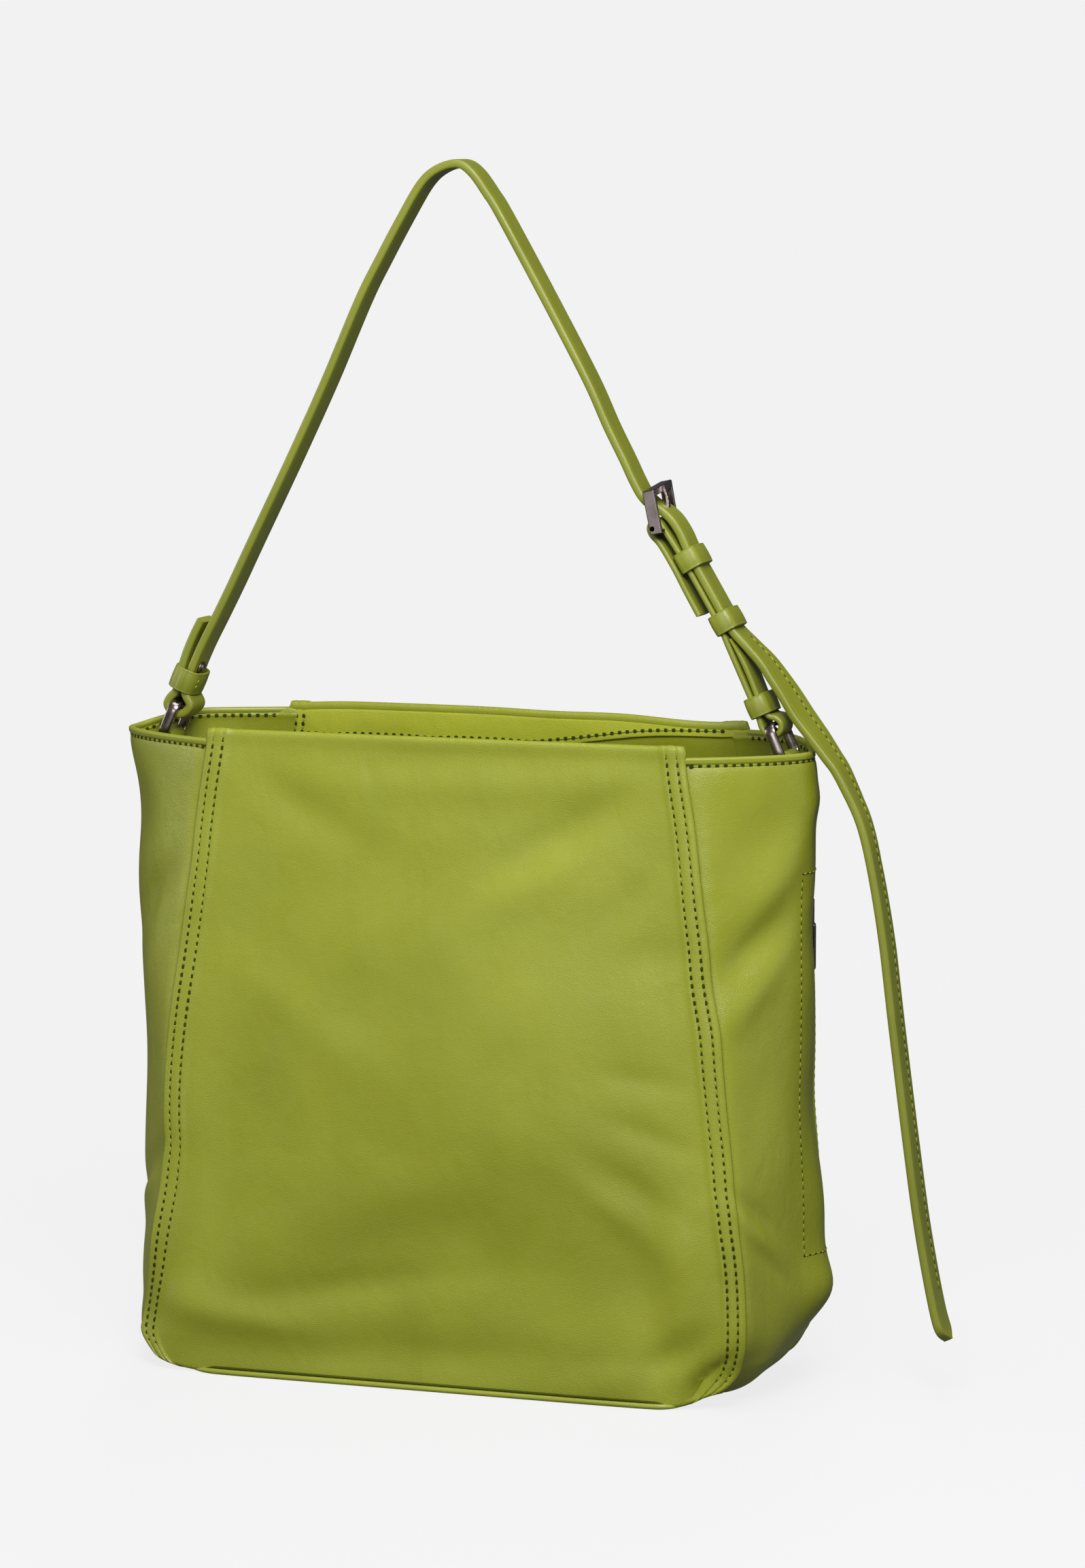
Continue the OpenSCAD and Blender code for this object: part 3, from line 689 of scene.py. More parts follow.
def gusset_skin(name, side, node):
    """A gusset; the right one sinks at the slit of the zip."""
    near = np.array([0, 1, 2, 3.2, 4.6, 6.4, 8.6, 11.5]) / GUSSET_SPAN
    u = np.concatenate([-1 + near, np.linspace(-0.78, 0.78, 44), 1 - near[::-1]])
    if side > 0:
        edges = [ZIP_U + sign * SLIT_U * k for sign in (-1, 1) for k in (0.96, 1.04)]
        u = np.sort(np.append(u, edges))
    s = np.concatenate([run_at(np.array([RIM_H - 1.4, RIM_H - 2.4, RIM_ROW + 0.9, RIM_ROW,
                                         RIM_ROW - 0.9])),
                        run_at(np.linspace(RIM_ROW - 3, CORNER_R, 100)),
                        np.linspace(CORNER_RUN, 0, 18)[1:]])
    levels, across = np.meshgrid(s, u, indexing="ij")
    height = levels - CORNER_RUN + CORNER_R
    depth = gusset_recess(across, height)
    back = depth + LEATHER_T
    if side > 0:
        in_slit = ((np.abs(across - ZIP_U) < SLIT_U) & (height < ZIP_HIGH - ZIP_EDGE)
                   & (height > ZIP_LOW + ZIP_EDGE))
        depth = np.where(in_slit, 3.0, depth)
        back = np.where(in_slit, 3.5, back)
    return bag_skin(name, gusset_at(side, across, levels, depth),
                    gusset_at(side, across, levels, back), BODY_LEATHER, node)


def rim_skin(name, side, node):
    """A gusset's rolled top edge, a little pulled in by its stitches."""
    u = np.linspace(-0.985, 0.985, 90)
    line = gusset_at(side, u, np.full_like(u, run_at(RIM_H - RIM_EDGE_H / 2)), LEATHER_T / 2)
    ahead = unit(np.gradient(line, axis=0))
    out = unit(np.cross(ahead, np.array([0, 0, 1.0])))
    out *= np.sign((out * line).sum(-1, keepdims=True))
    turn = np.linspace(0, 2 * math.pi, 20, endpoint=False)
    tall = RIM_EDGE_H / 2 + 0.3
    rings = []
    for angle in turn:
        flat = 1.0 if math.sin(angle) > 0 else 0.85
        wide = 1.75 * abs(math.cos(angle)) ** 0.7 * math.copysign(1, math.cos(angle)) * flat
        high = tall * abs(math.sin(angle)) ** 0.8 * math.copysign(1, math.sin(angle))
        pull = 0.12 * np.cos(np.arange(len(u)) * 2.1) * (1 if math.sin(angle) < 0 else 0.3)
        rings.append(line + out * (wide + pull * math.cos(angle))[:, None] + np.array([0, 0, high]))
    points, faces = tube(settle(np.stack(rings, 1)))
    return add_mesh(name, points, faces, [EDGE_LEATHER], "bag", [node])


def rim_row(side, inside):
    """The stitch row under a rolled edge, on the gusset's outer or inner face."""
    return row_on(lambda u, depth: gusset_at(side, u, run_at(RIM_ROW), depth),
                  np.linspace(-0.955, 0.955, 140), LEATHER_T + 0.3 if inside else 0.4,
                  1.0 if inside else -1.0)


# ---- Underside ----
def piping_skin(name, side, node):
    """The narrow strip along the bottom edge, which goes a little way round both corners.

    A thin dark tube above it is painted shadow, where it meets the panel.
    """
    turn_r, reach, straight = 24.0, math.radians(40), 118.0
    piping_r, shade_r = 1.5, 0.42
    y0 = BASE_HALF_D + LEATHER_T
    arc = np.linspace(reach, 0, 16)
    half = [(straight + turn_r * math.sin(a), y0 - turn_r + turn_r * math.cos(a)) for a in arc]
    middle = [(x, y0) for x in np.linspace(-straight, straight, 52)[1:-1]]
    line = np.array([(-x, y) for x, y in half] + middle + half[::-1])
    ahead = unit(np.gradient(line, axis=0))
    out = np.stack([-ahead[:, 1], ahead[:, 0]], -1)
    turn = np.linspace(0, 2 * math.pi, 16, endpoint=False)
    share = np.minimum(np.arange(len(line)), np.arange(len(line))[::-1]) / 14
    r = piping_r * (0.4 + 0.6 * smooth(share))[:, None]
    rings = np.stack([line[:, :1] + out[:, :1] * r * np.cos(turn),
                      line[:, 1:] + out[:, 1:] * r * np.cos(turn), r + r * np.sin(turn)], -1)
    rings[..., 1] *= side
    begun = smooth(share - 0.25)[:, None]
    shade = mix(rings.mean(1, keepdims=True), rings, shade_r * begun[..., None] + 0.01)
    shade += [0, side * 0.1, 0]
    shade[..., 2] += 1.45 * r * begun
    strip, painted_shadow_line = tube(settle(rings)), tube(settle(shade))
    points, faces = joined([strip, painted_shadow_line])
    return add_mesh(name, points, faces, [EDGE_LEATHER, SEAM_SHADE], "bag", [node],
                    face_materials=[0] * len(strip[1]) + [1] * len(painted_shadow_line[1]))


def base_skin():
    """The leather bottom, slightly uneven and turned up at its edges."""
    half_w, half_d = BASE_HALF_W - CORNER_R + 1.0, BASE_HALF_D - LEATHER_T
    x, y = np.meshgrid(np.linspace(-half_w, half_w, 70), np.linspace(-half_d, half_d, 36),
                       indexing="ij")
    from_edge = np.minimum(half_w - np.abs(x), half_d - np.abs(y))
    lift = 0.4 * np.exp(-(from_edge / 3) ** 2) + 0.18 * (np.sin(x / 23 + y / 17) + 1)
    high = np.full_like(lift, LEATHER_T)
    return bag_skin("base_skin", np.stack([x, y, lift], -1), np.stack([x, y, high], -1),
                    BODY_LEATHER, "base_panel")


def base_rows():
    """Stitch rows along the two short ends of the base."""
    rows = []
    for side in (-1, 1):
        y = np.linspace(-54, 54, 40)
        x = np.full_like(y, side * (BASE_HALF_W - CORNER_R - 3))
        line = settle(np.stack([x, y, np.full_like(y, 0.35)], -1))
        rows.append(thread_row(line, line - [0, 0, 1.0]))
    return rows


# ---- Lining ----
LINING_DEPTH, LINING_T, LINING_TOP = 5.0, 0.8, 292


def lining_skin():
    """Cloth bag with soft upright folds, hemmed at the top and open upwards."""
    s = np.concatenate([run_at(np.linspace(LINING_TOP, CORNER_R, 50)),
                        np.linspace(CORNER_RUN, 0, 12)[1:]])
    gusset_u = np.linspace(-1, 1, 40)[:-1]

    def loop(depth):
        rows = []
        for level in s:
            half_w = float(panel_half_w(np.array([level]))[0])
            xs = np.linspace(half_w, -half_w, 60)[:-1]
            rows.append(np.concatenate([gusset_at(1, gusset_u, level, depth),
                                        panel_at(1, xs, level, depth),
                                        gusset_at(-1, -gusset_u, level, depth),
                                        panel_at(-1, -xs, level, depth)]))
        return np.stack(rows)

    outer, inner = loop(LINING_DEPTH), loop(LINING_DEPTH + LINING_T)
    count = outer.shape[1]
    turn = np.arange(count) * 2 * math.pi / count
    fold = 0.9 * np.sin(turn * 17 + 0.6) + 0.7 * np.sin(turn * 29 + 1.9)
    body = smooth((LINING_TOP - outer[..., 2]) / 40) * smooth(outer[..., 2] / 40)
    inward = unit(-outer * [1, 1, 0])
    hem = 0.4 * smooth((9 - (LINING_TOP - outer[..., 2])) / 2)
    for grid, extra in ((outer, 0.0), (inner, 1.0)):
        grid += inward * ((1.1 + fold) * body + hem * extra)[..., None]
    points, faces = tube(np.concatenate([settle(outer)[::-1], settle(inner)]))
    return add_mesh("lining_cloth", points, faces, [LINING], "bag", ["lining"])


# ---- Side pocket ----
def pocket_frame():
    """Leather strip sewn round the zip's slit: two sides and two ends."""
    ends = [z + change for z in (ZIP_HIGH - ZIP_EDGE, ZIP_LOW + ZIP_EDGE) for change in (-0.2, 0.2)]
    z = np.sort(np.append(np.linspace(ZIP_HIGH, ZIP_LOW, 70), ends))[::-1]
    beside = np.linspace(SLIT_U, ZIP_HALF_U, 8)
    whole_width = ZIP_U + np.linspace(-ZIP_HALF_U, ZIP_HALF_U, 16)
    parts = []
    for u, heights in ((ZIP_U - beside[::-1], z), (ZIP_U + beside, z),
                       (whole_width, np.linspace(ZIP_HIGH, ZIP_HIGH - ZIP_EDGE, 6)),
                       (whole_width, np.linspace(ZIP_LOW + ZIP_EDGE, ZIP_LOW, 6))):
        levels, across = np.meshgrid(run_at(heights), u, indexing="ij")
        parts.append(slab(settle(gusset_at(1, across, levels, -0.95)),
                          settle(gusset_at(1, across, levels, 0.1)), 5))
    points, faces = joined(parts)
    return add_mesh("pocket_frame", points, faces, [BODY_LEATHER], "bag", ["zip_frame"])


def pocket_rows():
    """Stitch rows of the strip round the zip, and of the pouch, sewn in front of that strip."""
    on_strip, on_gusset = -0.9, 0.0
    first_u, last_u = ZIP_U - ZIP_HALF_U + 0.03, ZIP_U + ZIP_HALF_U - 0.03
    low, high = ZIP_LOW + 2.2, ZIP_HIGH - 2.2

    def upright(u, z0, z1, face):
        return row_on(lambda z, depth: gusset_at(1, u, run_at(z), depth), np.linspace(z0, z1, 60),
                      face, -1.0)

    def level(z, u0, u1, count, face):
        return row_on(lambda u, depth: gusset_at(1, u, run_at(z), depth),
                      np.linspace(u0, u1, count), face, -1.0)

    rows = [upright(u, low, high, on_strip)
            for u in (first_u, last_u, ZIP_U - SLIT_U - 0.02, ZIP_U + SLIT_U + 0.02)]
    rows += [level(z, first_u, last_u, 30, on_strip) for z in (low, high)]
    rows += [upright(POUCH_U, POUCH_LOW, POUCH_HIGH, on_gusset)]
    rows += [level(z, POUCH_U, ZIP_U - ZIP_HALF_U, 16, on_gusset) for z in (POUCH_LOW, POUCH_HIGH)]
    return rows


def zip_tape_skin():
    """The zip's tape, behind the slit."""
    levels, across = np.meshgrid(run_at(np.linspace(ZIP_HIGH - 4, ZIP_LOW + 4, 60)),
                                 ZIP_U + np.linspace(-0.15, 0.15, 15), indexing="ij")
    return bag_skin("zip_tape_weave", gusset_at(1, across, levels, LEATHER_T + 0.3),
                    gusset_at(1, across, levels, LEATHER_T + 0.9), ZIP_TAPE, "zip_tape")


TOOTH_PITCH, TOOTH_T = 1.5, 1.1
TEETH_START, TEETH_RUN = 13, 172    # below the zip's upper end, and their length along the tape
TEETH_HEADING = math.radians(35)    # the way the slit faces, from +X towards +Y


def zip_teeth_fine():
    """Metal teeth that point at each other by turns, along the zip's straight line."""
    top = gusset_at(1, ZIP_U, run_at(ZIP_HIGH), 0)
    bottom = gusset_at(1, ZIP_U, run_at(ZIP_LOW), 0)
    down = unit(bottom - top)
    out = np.array([math.cos(TEETH_HEADING), math.sin(TEETH_HEADING), 0])
    across = np.cross(down, out)
    shape, shape_faces = pod(2.6, 0.55, TOOTH_T / 2)
    parts = []
    for i in range(int(TEETH_RUN / TOOTH_PITCH)):
        side = 1 if i % 2 else -1
        centre = top + down * (TEETH_START + i * TOOTH_PITCH) + across * side * 0.9
        centre = centre - out * (LEATHER_T - 0.05 - TOOTH_T / 2)
        parts.append((centre + shape @ np.stack([across, down, out]), shape_faces))
    points, faces = joined(parts)
    return add_mesh("zip_teeth_fine", points, faces, [GUNMETAL], "bag", ["zip_teeth"],
                    sharp_deg=80)


# ---- Straps ----
STRAP_W, STRAP_T, SHORT_T, TAB_W, TAB_T = 18, 4.4, 3.2, 16, 2.0
LEFT_LOOP, LOOP_R = (-159, 337.6), 6.3
LEFT_FOLD = [(-146.2, 380.2), (-149.6, 373.8), (-152.8, 367), (-155.2, 361), (-157.1, 355),
             (-158.6, 349.2), (-160.2, 343.4), (-163.6, 339.8)]
MAIN = [(-155.3, 342.2), (-153.8, 348), (-152.1, 353.8), (-146.6, 366), (-138.4, 381.5),
        (-129.8, 398), (-119.2, 419.3), (-98, 461.4), (-77.8, 503), (-59.2, 544.4), (-48, 565.5),
        (-36.4, 586), (-25.5, 603.5), (-16.5, 611), (-6, 613.6), (1.5, 609.3), (9.5, 598.8),
        (16.7, 587.8), (39.8, 547.4), (62, 507.2), (73, 484), (81.6, 467.4), (86.4, 457.6),
        (90.8, 450), (95.2, 445.6), (101, 442.8), (106.6, 438.2), (111.3, 431.4), (114.6, 424.5),
        (117.4, 419.2), (123.4, 409), (129.4, 398.9), (133.4, 392.1), (137.7, 384.8)]
TAIL_TOP = [(146.6, 376.3), (156, 367.6), (166, 355), (174.5, 342.4), (182.6, 331), (188, 323.2)]
TAIL = [(196.5, 310.5), (207.5, 287), (215.6, 247), (223.4, 186), (231.5, 125), (237.6, 84),
        (245.6, 44), (250.8, 31)]
BUNDLE_TOP, BUNDLE_LOW = np.array([115.8, 418.4]), np.array([133.9, 387.8])
BUNDLE_DIR = unit(BUNDLE_LOW - BUNDLE_TOP)
BUNDLE_OUT = np.array([-BUNDLE_DIR[1], BUNDLE_DIR[0]])
LEG_AT, LEG_DIR = np.array([152.8, 345.3]), unit(np.array([19.3, -42.0]))
LEG_OUT = np.array([-LEG_DIR[1], LEG_DIR[0]])
GAP = 0.3
KEEPER_T, KEEPER_LEN, KEEPER_ROOM = 1.6, 10.6, 1.5
RING_FOOT, RING_LEAN = (166.5, 319.8), math.radians(23.2)
LEFT_KEEPER_AT, LEFT_KEEPER_DIR = np.array([-156.0, 349.4]), unit(np.array([0.40, 0.916]))
LEFT_KEEPER_ROOM = 2 * STRAP_T + KEEPER_ROOM + 0.6


def leg_pt(s, off):
    """A point of the short strap's leg: s down it from its middle, off to its outer side."""
    return tuple(LEG_AT + LEG_DIR * s + LEG_OUT * off)


def left_loop():
    """The long strap's turn round the left ring."""
    x, z = LEFT_LOOP
    turns = [math.radians(a) for a in range(170, 9, -32)]
    return [(x + LOOP_R * math.cos(a), z - LOOP_R * math.sin(a)) for a in turns]


def short_route():
    """The short strap: round the buckle's pin, down under the keepers, round the ring and up."""
    short_off, half = -(STRAP_T + GAP) / 2, (SHORT_T + GAP) / 2
    start = [(121.5, 390.7), (114.9, 402.2), (108.6, 413.7), (101.4, 425.2), (96.8, 430.2),
             (95.6, 434), (97.6, 436.8), (100.8, 436.3), (103.6, 432.4), (107.4, 427)]
    bundle = [tuple(BUNDLE_TOP + BUNDLE_OUT * short_off), (118, 410.2), (125, 398.4),
              tuple(BUNDLE_LOW + BUNDLE_OUT * short_off)]
    down = [leg_pt(s, -half) for s in (-34, -26, -18, -10, -2)]
    loop = [leg_pt(4, -1.9), leg_pt(9.4, -2.5), leg_pt(13.4, -1.2), leg_pt(15.4, 2.2),
            leg_pt(14.2, 5.8), leg_pt(11, 7.4), leg_pt(7.8, 6.2), leg_pt(5.6, 3.4), leg_pt(2.4, 2)]
    back_up = [leg_pt(-1.4, half), leg_pt(-8, 1.9), leg_pt(-16, 2.2), leg_pt(-24, 2.1),
               leg_pt(-31, 1.5), leg_pt(-37.5, 0.6)]
    return start + bundle + down + loop + back_up


STEPS = 8                       # points of a spline from one place of its route to the next


def spline(route, steps=STEPS):
    """A smooth line through every point of a route, as the CAD draws it."""
    p = np.array(route, float)
    n = len(p) - 1
    line = []
    for i in range(n):
        a, b, c, d = p[max(0, i - 1)], p[i], p[i + 1], p[min(n, i + 2)]
        for k in range(steps):
            t = k / steps
            line.append(0.5 * (2 * b + (c - a) * t + (2 * a - 5 * b + 4 * c - d) * t * t
                               + (3 * b - a - 3 * c + d) * t ** 3))
    line.append(p[-1])
    return np.array(line)


def strap_section(width, thick):
    """Outline of a strap across its length: flat faces, turned edges with a crease beside them."""
    w, h = width / 2, thick / 2
    quarter = [(0.0, h), (w * 0.35, h), (w * 0.6, h), (w - 2.4, h - 0.02), (w - 1.9, h - 0.20),
               (w - 1.6, h - 0.24), (w - 1.3, h - 0.12), (w - 0.8, h - 0.18), (w - 0.35, h - 0.5),
               (w - 0.06, h * 0.45), (w, 0.0)]
    top = [(-y, n) for y, n in quarter[:0:-1]] + quarter
    bottom = [(y, -n) for y, n in top[-2:0:-1]]
    return np.array(top + bottom)


def line_frame(line):
    """Directions along a line in the XZ plane, and to its left."""
    ahead = np.empty_like(line)
    ahead[1:-1] = line[2:] - line[:-2]
    ahead[0], ahead[-1] = line[1] - line[0], line[-1] - line[-2]
    ahead = unit(ahead)
    return ahead, np.stack([-ahead[:, 1], ahead[:, 0]], -1)


# The tail lies closer to the bag than its solid, and turns a little towards its far edge:
# height, how far it moves in, and how far it turns (degrees).
TAIL_EASE = [(386, 0, 0), (376, 0.3, 3), (362, 1.3, 11), (345, 1.5, 17), (332, 0.8, 13),
             (318, 0.4, 6), (300, 1.4, 0), (270, 1.4, -2), (225, 0.4, 0), (0, 0, 0)]


def tail_ease(z):
    """How far the tail moves in and turns at a height."""
    heights, moves, turns = np.array(TAIL_EASE)[::-1].T
    return np.interp(z, heights, moves), np.radians(np.interp(z, heights, turns))


def on_strap(line, twist, y, off):
    """Points beside a strap's line: y across the strap, off through it."""
    _, normal = line_frame(line)
    c, s = np.cos(twist), np.sin(twist)
    along_normal = y * s + off * c
    return np.stack([line[:, 0] + normal[:, 0] * along_normal, y * c - off * s,
                     line[:, 1] + normal[:, 1] * along_normal], -1)


def band(line, width, thick, twist=0.0, round_end=0.0, thin_end=0.0):
    """Rings of a strap along a line in the XZ plane; its end may be rounded or pared thin."""
    section = strap_section(width, thick)
    steps = np.linalg.norm(np.diff(line, axis=0), axis=1)
    at = np.concatenate([[0], np.cumsum(steps)])
    left = at[-1] - at
    narrow = np.ones(len(line))
    if round_end:
        narrow = np.maximum(0.12, 1 - np.clip(1 - left / round_end, 0, 1) ** 2.6)
    thinner = np.ones(len(line))
    if thin_end:
        thinner = 0.45 + 0.55 * smooth(left / thin_end)
    return np.stack([on_strap(line, twist, y * narrow, off * thinner) for y, off in section], 1)


def strap_skin(name, line, width, thick, body, replaced=(), **shape):
    """A strap's mesh; shape is what band takes: twist, round_end and thin_end."""
    points, faces = tube(band(line, width, thick, **shape))
    return add_mesh(name, points, faces, [STRAP_LEATHER], body, replaced,
                    sharp_deg=38)


def strap_row(line, y, thick, twist=0.0):
    """A stitch row along a strap's outer face, y from its middle."""
    low, high = (on_strap(line, twist, y, thick / 2 + lift) for lift in (-0.05, 1.0))
    return thread_row(low, high)


def mirrored(half, middle):
    """A section from its left half, the point in the middle, and the left half turned round."""
    return half + [middle] + [(-a, b) for a, b in half[::-1]]


def round_loop(half_a, half_b, corner, bow=0.0):
    """A rounded rectangle's points and outward directions; bow rounds its straight sides."""
    path, outward = [], []
    for ca, cb, start in ((1, 1, 0), (-1, 1, 90), (-1, -1, 180), (1, -1, 270)):
        for k in range(7):
            a = math.radians(start + 90 * k / 6)
            path.append((ca * (half_a - corner) + corner * math.cos(a),
                         cb * (half_b - corner) + corner * math.sin(a)))
            outward.append((math.cos(a), math.sin(a)))
    path, outward = np.array(path), np.array(outward)
    points, directions = [], []
    for i in range(len(path)):
        j = (i + 1) % len(path)
        count = 8 if np.linalg.norm(path[j] - path[i]) > 2 else 1
        for k in range(count):
            t = k / count
            direction = unit(mix(outward[i], outward[j], t))
            points.append(mix(path[i], path[j], t) + direction * bow * math.sin(math.pi * t))
            directions.append(direction)
    return np.array(points), np.array(directions)


def swept_loop(centre, out, along, loop, section):
    """A closed tube: its loop's plane holds out and Y, its section goes along and outwards."""
    rings = []
    for p, direction in zip(*loop):
        ring = []
        for length, height in section:
            a, b = p + direction * height
            ring.append((centre[0] + out[0] * a + along[0] * length, b,
                         centre[1] + out[1] * a + along[1] * length))
        rings.append(ring)
    return loop_tube(np.array(rings))


def keeper_skin(name, at, direction, inner, node, body, corner=2.6, bow=0.4, length=KEEPER_LEN):
    """A leather loop round the strap layers: its path is a rounded rectangle."""
    direction = unit(np.array(direction, float))
    out = np.array([direction[1], -direction[0]])
    half_t, half_w = inner / 2 + KEEPER_T / 2, (STRAP_W + 2 * GAP) / 2 + KEEPER_T / 2
    half_l, h = length / 2, KEEPER_T / 2
    section = mirrored([(-half_l + 0.1, -h + 0.35), (-half_l, 0), (-half_l + 0.12, h - 0.35),
                        (-half_l + 0.5, h), (-half_l + 1.1, h - 0.08), (-half_l + 1.5, h + 0.04)],
                       (0, h + 0.18)) + [(half_l - 0.5, -h), (-half_l + 0.5, -h)]
    points, faces = swept_loop(at, out, direction, round_loop(half_t, half_w, corner, bow), section)
    cut_sides = {0, 1, 11, 12}
    kinds = [int(i % len(section) in cut_sides) for i in range(len(faces))]
    return add_mesh(name, points, faces, [STRAP_LEATHER, CUT_EDGE], body, [node],
                    face_materials=kinds, sharp_deg=40)


RING_W, RING_H, RING_BAND, RING_DEPTH = 23, 19, 2.2, 5.3


def ring_skin(name, side, node):
    """A flat-banded ring with softly rounded edges."""
    up = np.array([-side * math.sin(RING_LEAN), math.cos(RING_LEAN)])
    through = np.array([side * math.cos(RING_LEAN), math.sin(RING_LEAN)])
    centre = np.array([side * RING_FOOT[0], RING_FOOT[1]]) + up * RING_H / 2
    d, b = RING_DEPTH / 2, RING_BAND / 2
    section = mirrored([(-d + 0.7, -b), (-d + 0.25, -b * 0.8), (-d, -b * 0.4), (-d, b * 0.4),
                        (-d + 0.25, b * 0.8), (-d + 0.7, b)], (0, b + 0.08))
    loop = round_loop(RING_H / 2, RING_W / 2 + RING_BAND / 2, 4.0)
    points, faces = swept_loop(centre, up, through, loop, section)
    return add_mesh(name, points, faces, [GUNMETAL], "handle", [node], sharp_deg=30)


BUCKLE_AT, BUCKLE_DIR = np.array([99, 442]), unit(np.array([-4.5, 21.5]))
BUCKLE_W, BUCKLE_H, BUCKLE_DEPTH = 30, 22, 6.2
BUCKLE_TOP, BUCKLE_SIDE, BUCKLE_FOOT = 3.4, 2.2, 2.0   # widths of the frame's bars
BUCKLE_TILT = 0.11              # rise of the top bar towards its far end


def frame_skin():
    """The buckle's frame: a plain box frame with a broad top bar and polished, eased edges."""
    out = np.array([BUCKLE_DIR[1], -BUCKLE_DIR[0]])
    w, h, d = BUCKLE_W / 2, BUCKLE_H / 2, BUCKLE_DEPTH / 2
    outer = [(-w, -h), (w, -h), (w, h), (-w, h)]
    inner = [(-w + BUCKLE_SIDE, -h + BUCKLE_FOOT), (w - BUCKLE_SIDE, -h + BUCKLE_FOOT),
             (w - BUCKLE_SIDE, h - BUCKLE_TOP), (-w + BUCKLE_SIDE, h - BUCKLE_TOP)]
    points = []
    for depth in (-d, d):
        for y, up in outer + inner:
            x, z = BUCKLE_AT + BUCKLE_DIR * up + out * depth
            points.append((x, y, z + BUCKLE_TILT * (y + w) * (up + h) / (2 * h)))
    faces = []
    for k in range(4):
        j = (k + 1) % 4
        faces += [[k, j, 4 + j, 4 + k], [8 + k, 12 + k, 12 + j, 8 + j], [k, 8 + k, 8 + j, j],
                  [4 + k, 4 + j, 12 + j, 12 + k]]
    obj = add_mesh("buckle_box", points, faces, [GUNMETAL], "handle", ["buckle_frame"],
                   sharp_deg=180)
    soft_edges(obj, 0.55, 4)
    return obj


def cross_stitches():
    """The small crossed stitches that close the left keeper."""
    at, direction = LEFT_KEEPER_AT, LEFT_KEEPER_DIR
    out = np.array([direction[1], -direction[0]])
    face = LEFT_KEEPER_ROOM / 2 + KEEPER_T + 0.15
    rows = []
    for tilt in (-1, 1):
        for shift in (-2.6, 0.4):
            ends = []
            for along, y in ((shift - tilt * 1.3, -7.6), (shift + 2.6 + tilt * 1.3, -5.2)):
                x, z = at + out * face + direction * along
                ends.append((x, y, z))
            line = np.array(ends)
            centre = line.mean(0)[None]
            normal = np.array([[out[0], 0, out[1]]])
            rows.append([("stitch", centre, unit(line[1] - line[0])[None], normal)])
    return rows


def stud_cap():
    """The stud: a flat dome on the strap's inner face, and its post through both layers."""
    at, out = np.array([-153.8, 356.6]), unit(np.array([0.93, -0.37]))
    aside = -1.5
    profile = [(-6.0, 0.05), (-5.9, 1.4), (4.7, 1.4), (4.8, 3.6), (5.3, 3.9), (6.1, 3.6),
               (6.9, 2.6), (7.3, 1.3), (7.4, 0.05)]
    turn = np.linspace(0, 2 * math.pi, 24, endpoint=False)
    rings = [[(at[0] + out[0] * depth - out[1] * r * math.cos(a), r * math.sin(a) + aside,
               at[1] + out[1] * depth + out[0] * r * math.cos(a)) for a in turn]
             for depth, r in profile]
    points, faces = tube(np.array(rings))
    return add_mesh("stud_cap", points, faces, [GUNMETAL], "handle", ["strap_stud"],
                    sharp_deg=40)


def ring_tab(name, side, node):
    """Leather tab folded round a ring's lower bar; its sewn ends follow the gusset."""
    low, gusset_half_d = 296, 49.7
    r = TAB_T / 2 + 2.6
    edge = gusset_at(side, TAB_W / 2 / gusset_half_d, run_at(low), LEATHER_T)
    hang = abs(float(edge[0])) - 1.15
    near, left = hang - TAB_T - GAP, RING_FOOT[0] - r
    turn = [(RING_FOOT[0] + r * math.cos(math.radians(a)),
             RING_FOOT[1] + r * math.sin(math.radians(a))) for a in range(-15, 196, 35)]
    route = ([(hang, low), (hang, 304), (mix(hang, RING_FOOT[0] + r, 0.35), 312)] + turn
             + [(mix(left, near, 0.2), 313.4), (mix(left, near, 0.72), 308.4), (near, 302),
                (near, low)])
    rings = band(spline(route, 6), TAB_W, TAB_T)
    sewn = smooth((313 - rings[..., 2]) / 9)
    rings[..., 0] += sewn * 1.6 * (1 - np.abs(rings[..., 1] / (TAB_W / 2)) ** GUSSET_POWER)
    rings[..., 0] *= side
    points, faces = tube(rings)
    tab = add_mesh(name, points, faces, [STRAP_LEATHER], None, [node], sharp_deg=40)
    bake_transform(tab)
    return tab


# ---- Metal that the CAD already shapes ----
def soft_edges(obj, width_mm, segments=3):
    """Rounds the sharp edges of a piece."""
    bevel = obj.modifiers.new("soft_edges", "BEVEL")
    bevel.width = width_mm * MM
    bevel.segments = segments
    bevel.limit_method = "ANGLE"
    bevel.angle_limit = math.radians(35)
    bevel.harden_normals = True


def finish_metal(node, width_mm):
    """Soft edges and plating on a CAD node."""
    obj = NODES[node]
    obj.data.materials.clear()
    obj.data.materials.append(GUNMETAL)
    weld = obj.modifiers.new("weld", "WELD")
    weld.merge_threshold = 0.01 * MM
    soft_edges(obj, width_mm)
    for polygon in obj.data.polygons:
        polygon.use_smooth = True


# ---- Build the bag ----
for word, side, top in (("front", -1, FRONT_H), ("back", 1, BACK_H)):
    panel_skin(word + "_shell", side, top, word + "_panel")
    facing_skin(word + "_facing_skin", side, top, word + "_facing")
    piping_skin(word + "_piping", side, word + "_base_piping")
    rows = [panel_row(side, which, offset, top) for which in (-1, 1)
            for offset in (SEAM_IN, SEAM_OUT)]
    sew(word + "_seam_thread", rows, "bag")
    inner_rows = [panel_row(side, which, offset, top, True) for which in (-1, 1)
                  for offset in (SEAM_IN, SEAM_OUT + 0.8)]
    sew(word + "_facing_thread", inner_rows + [facing_row(side, top)], "bag")

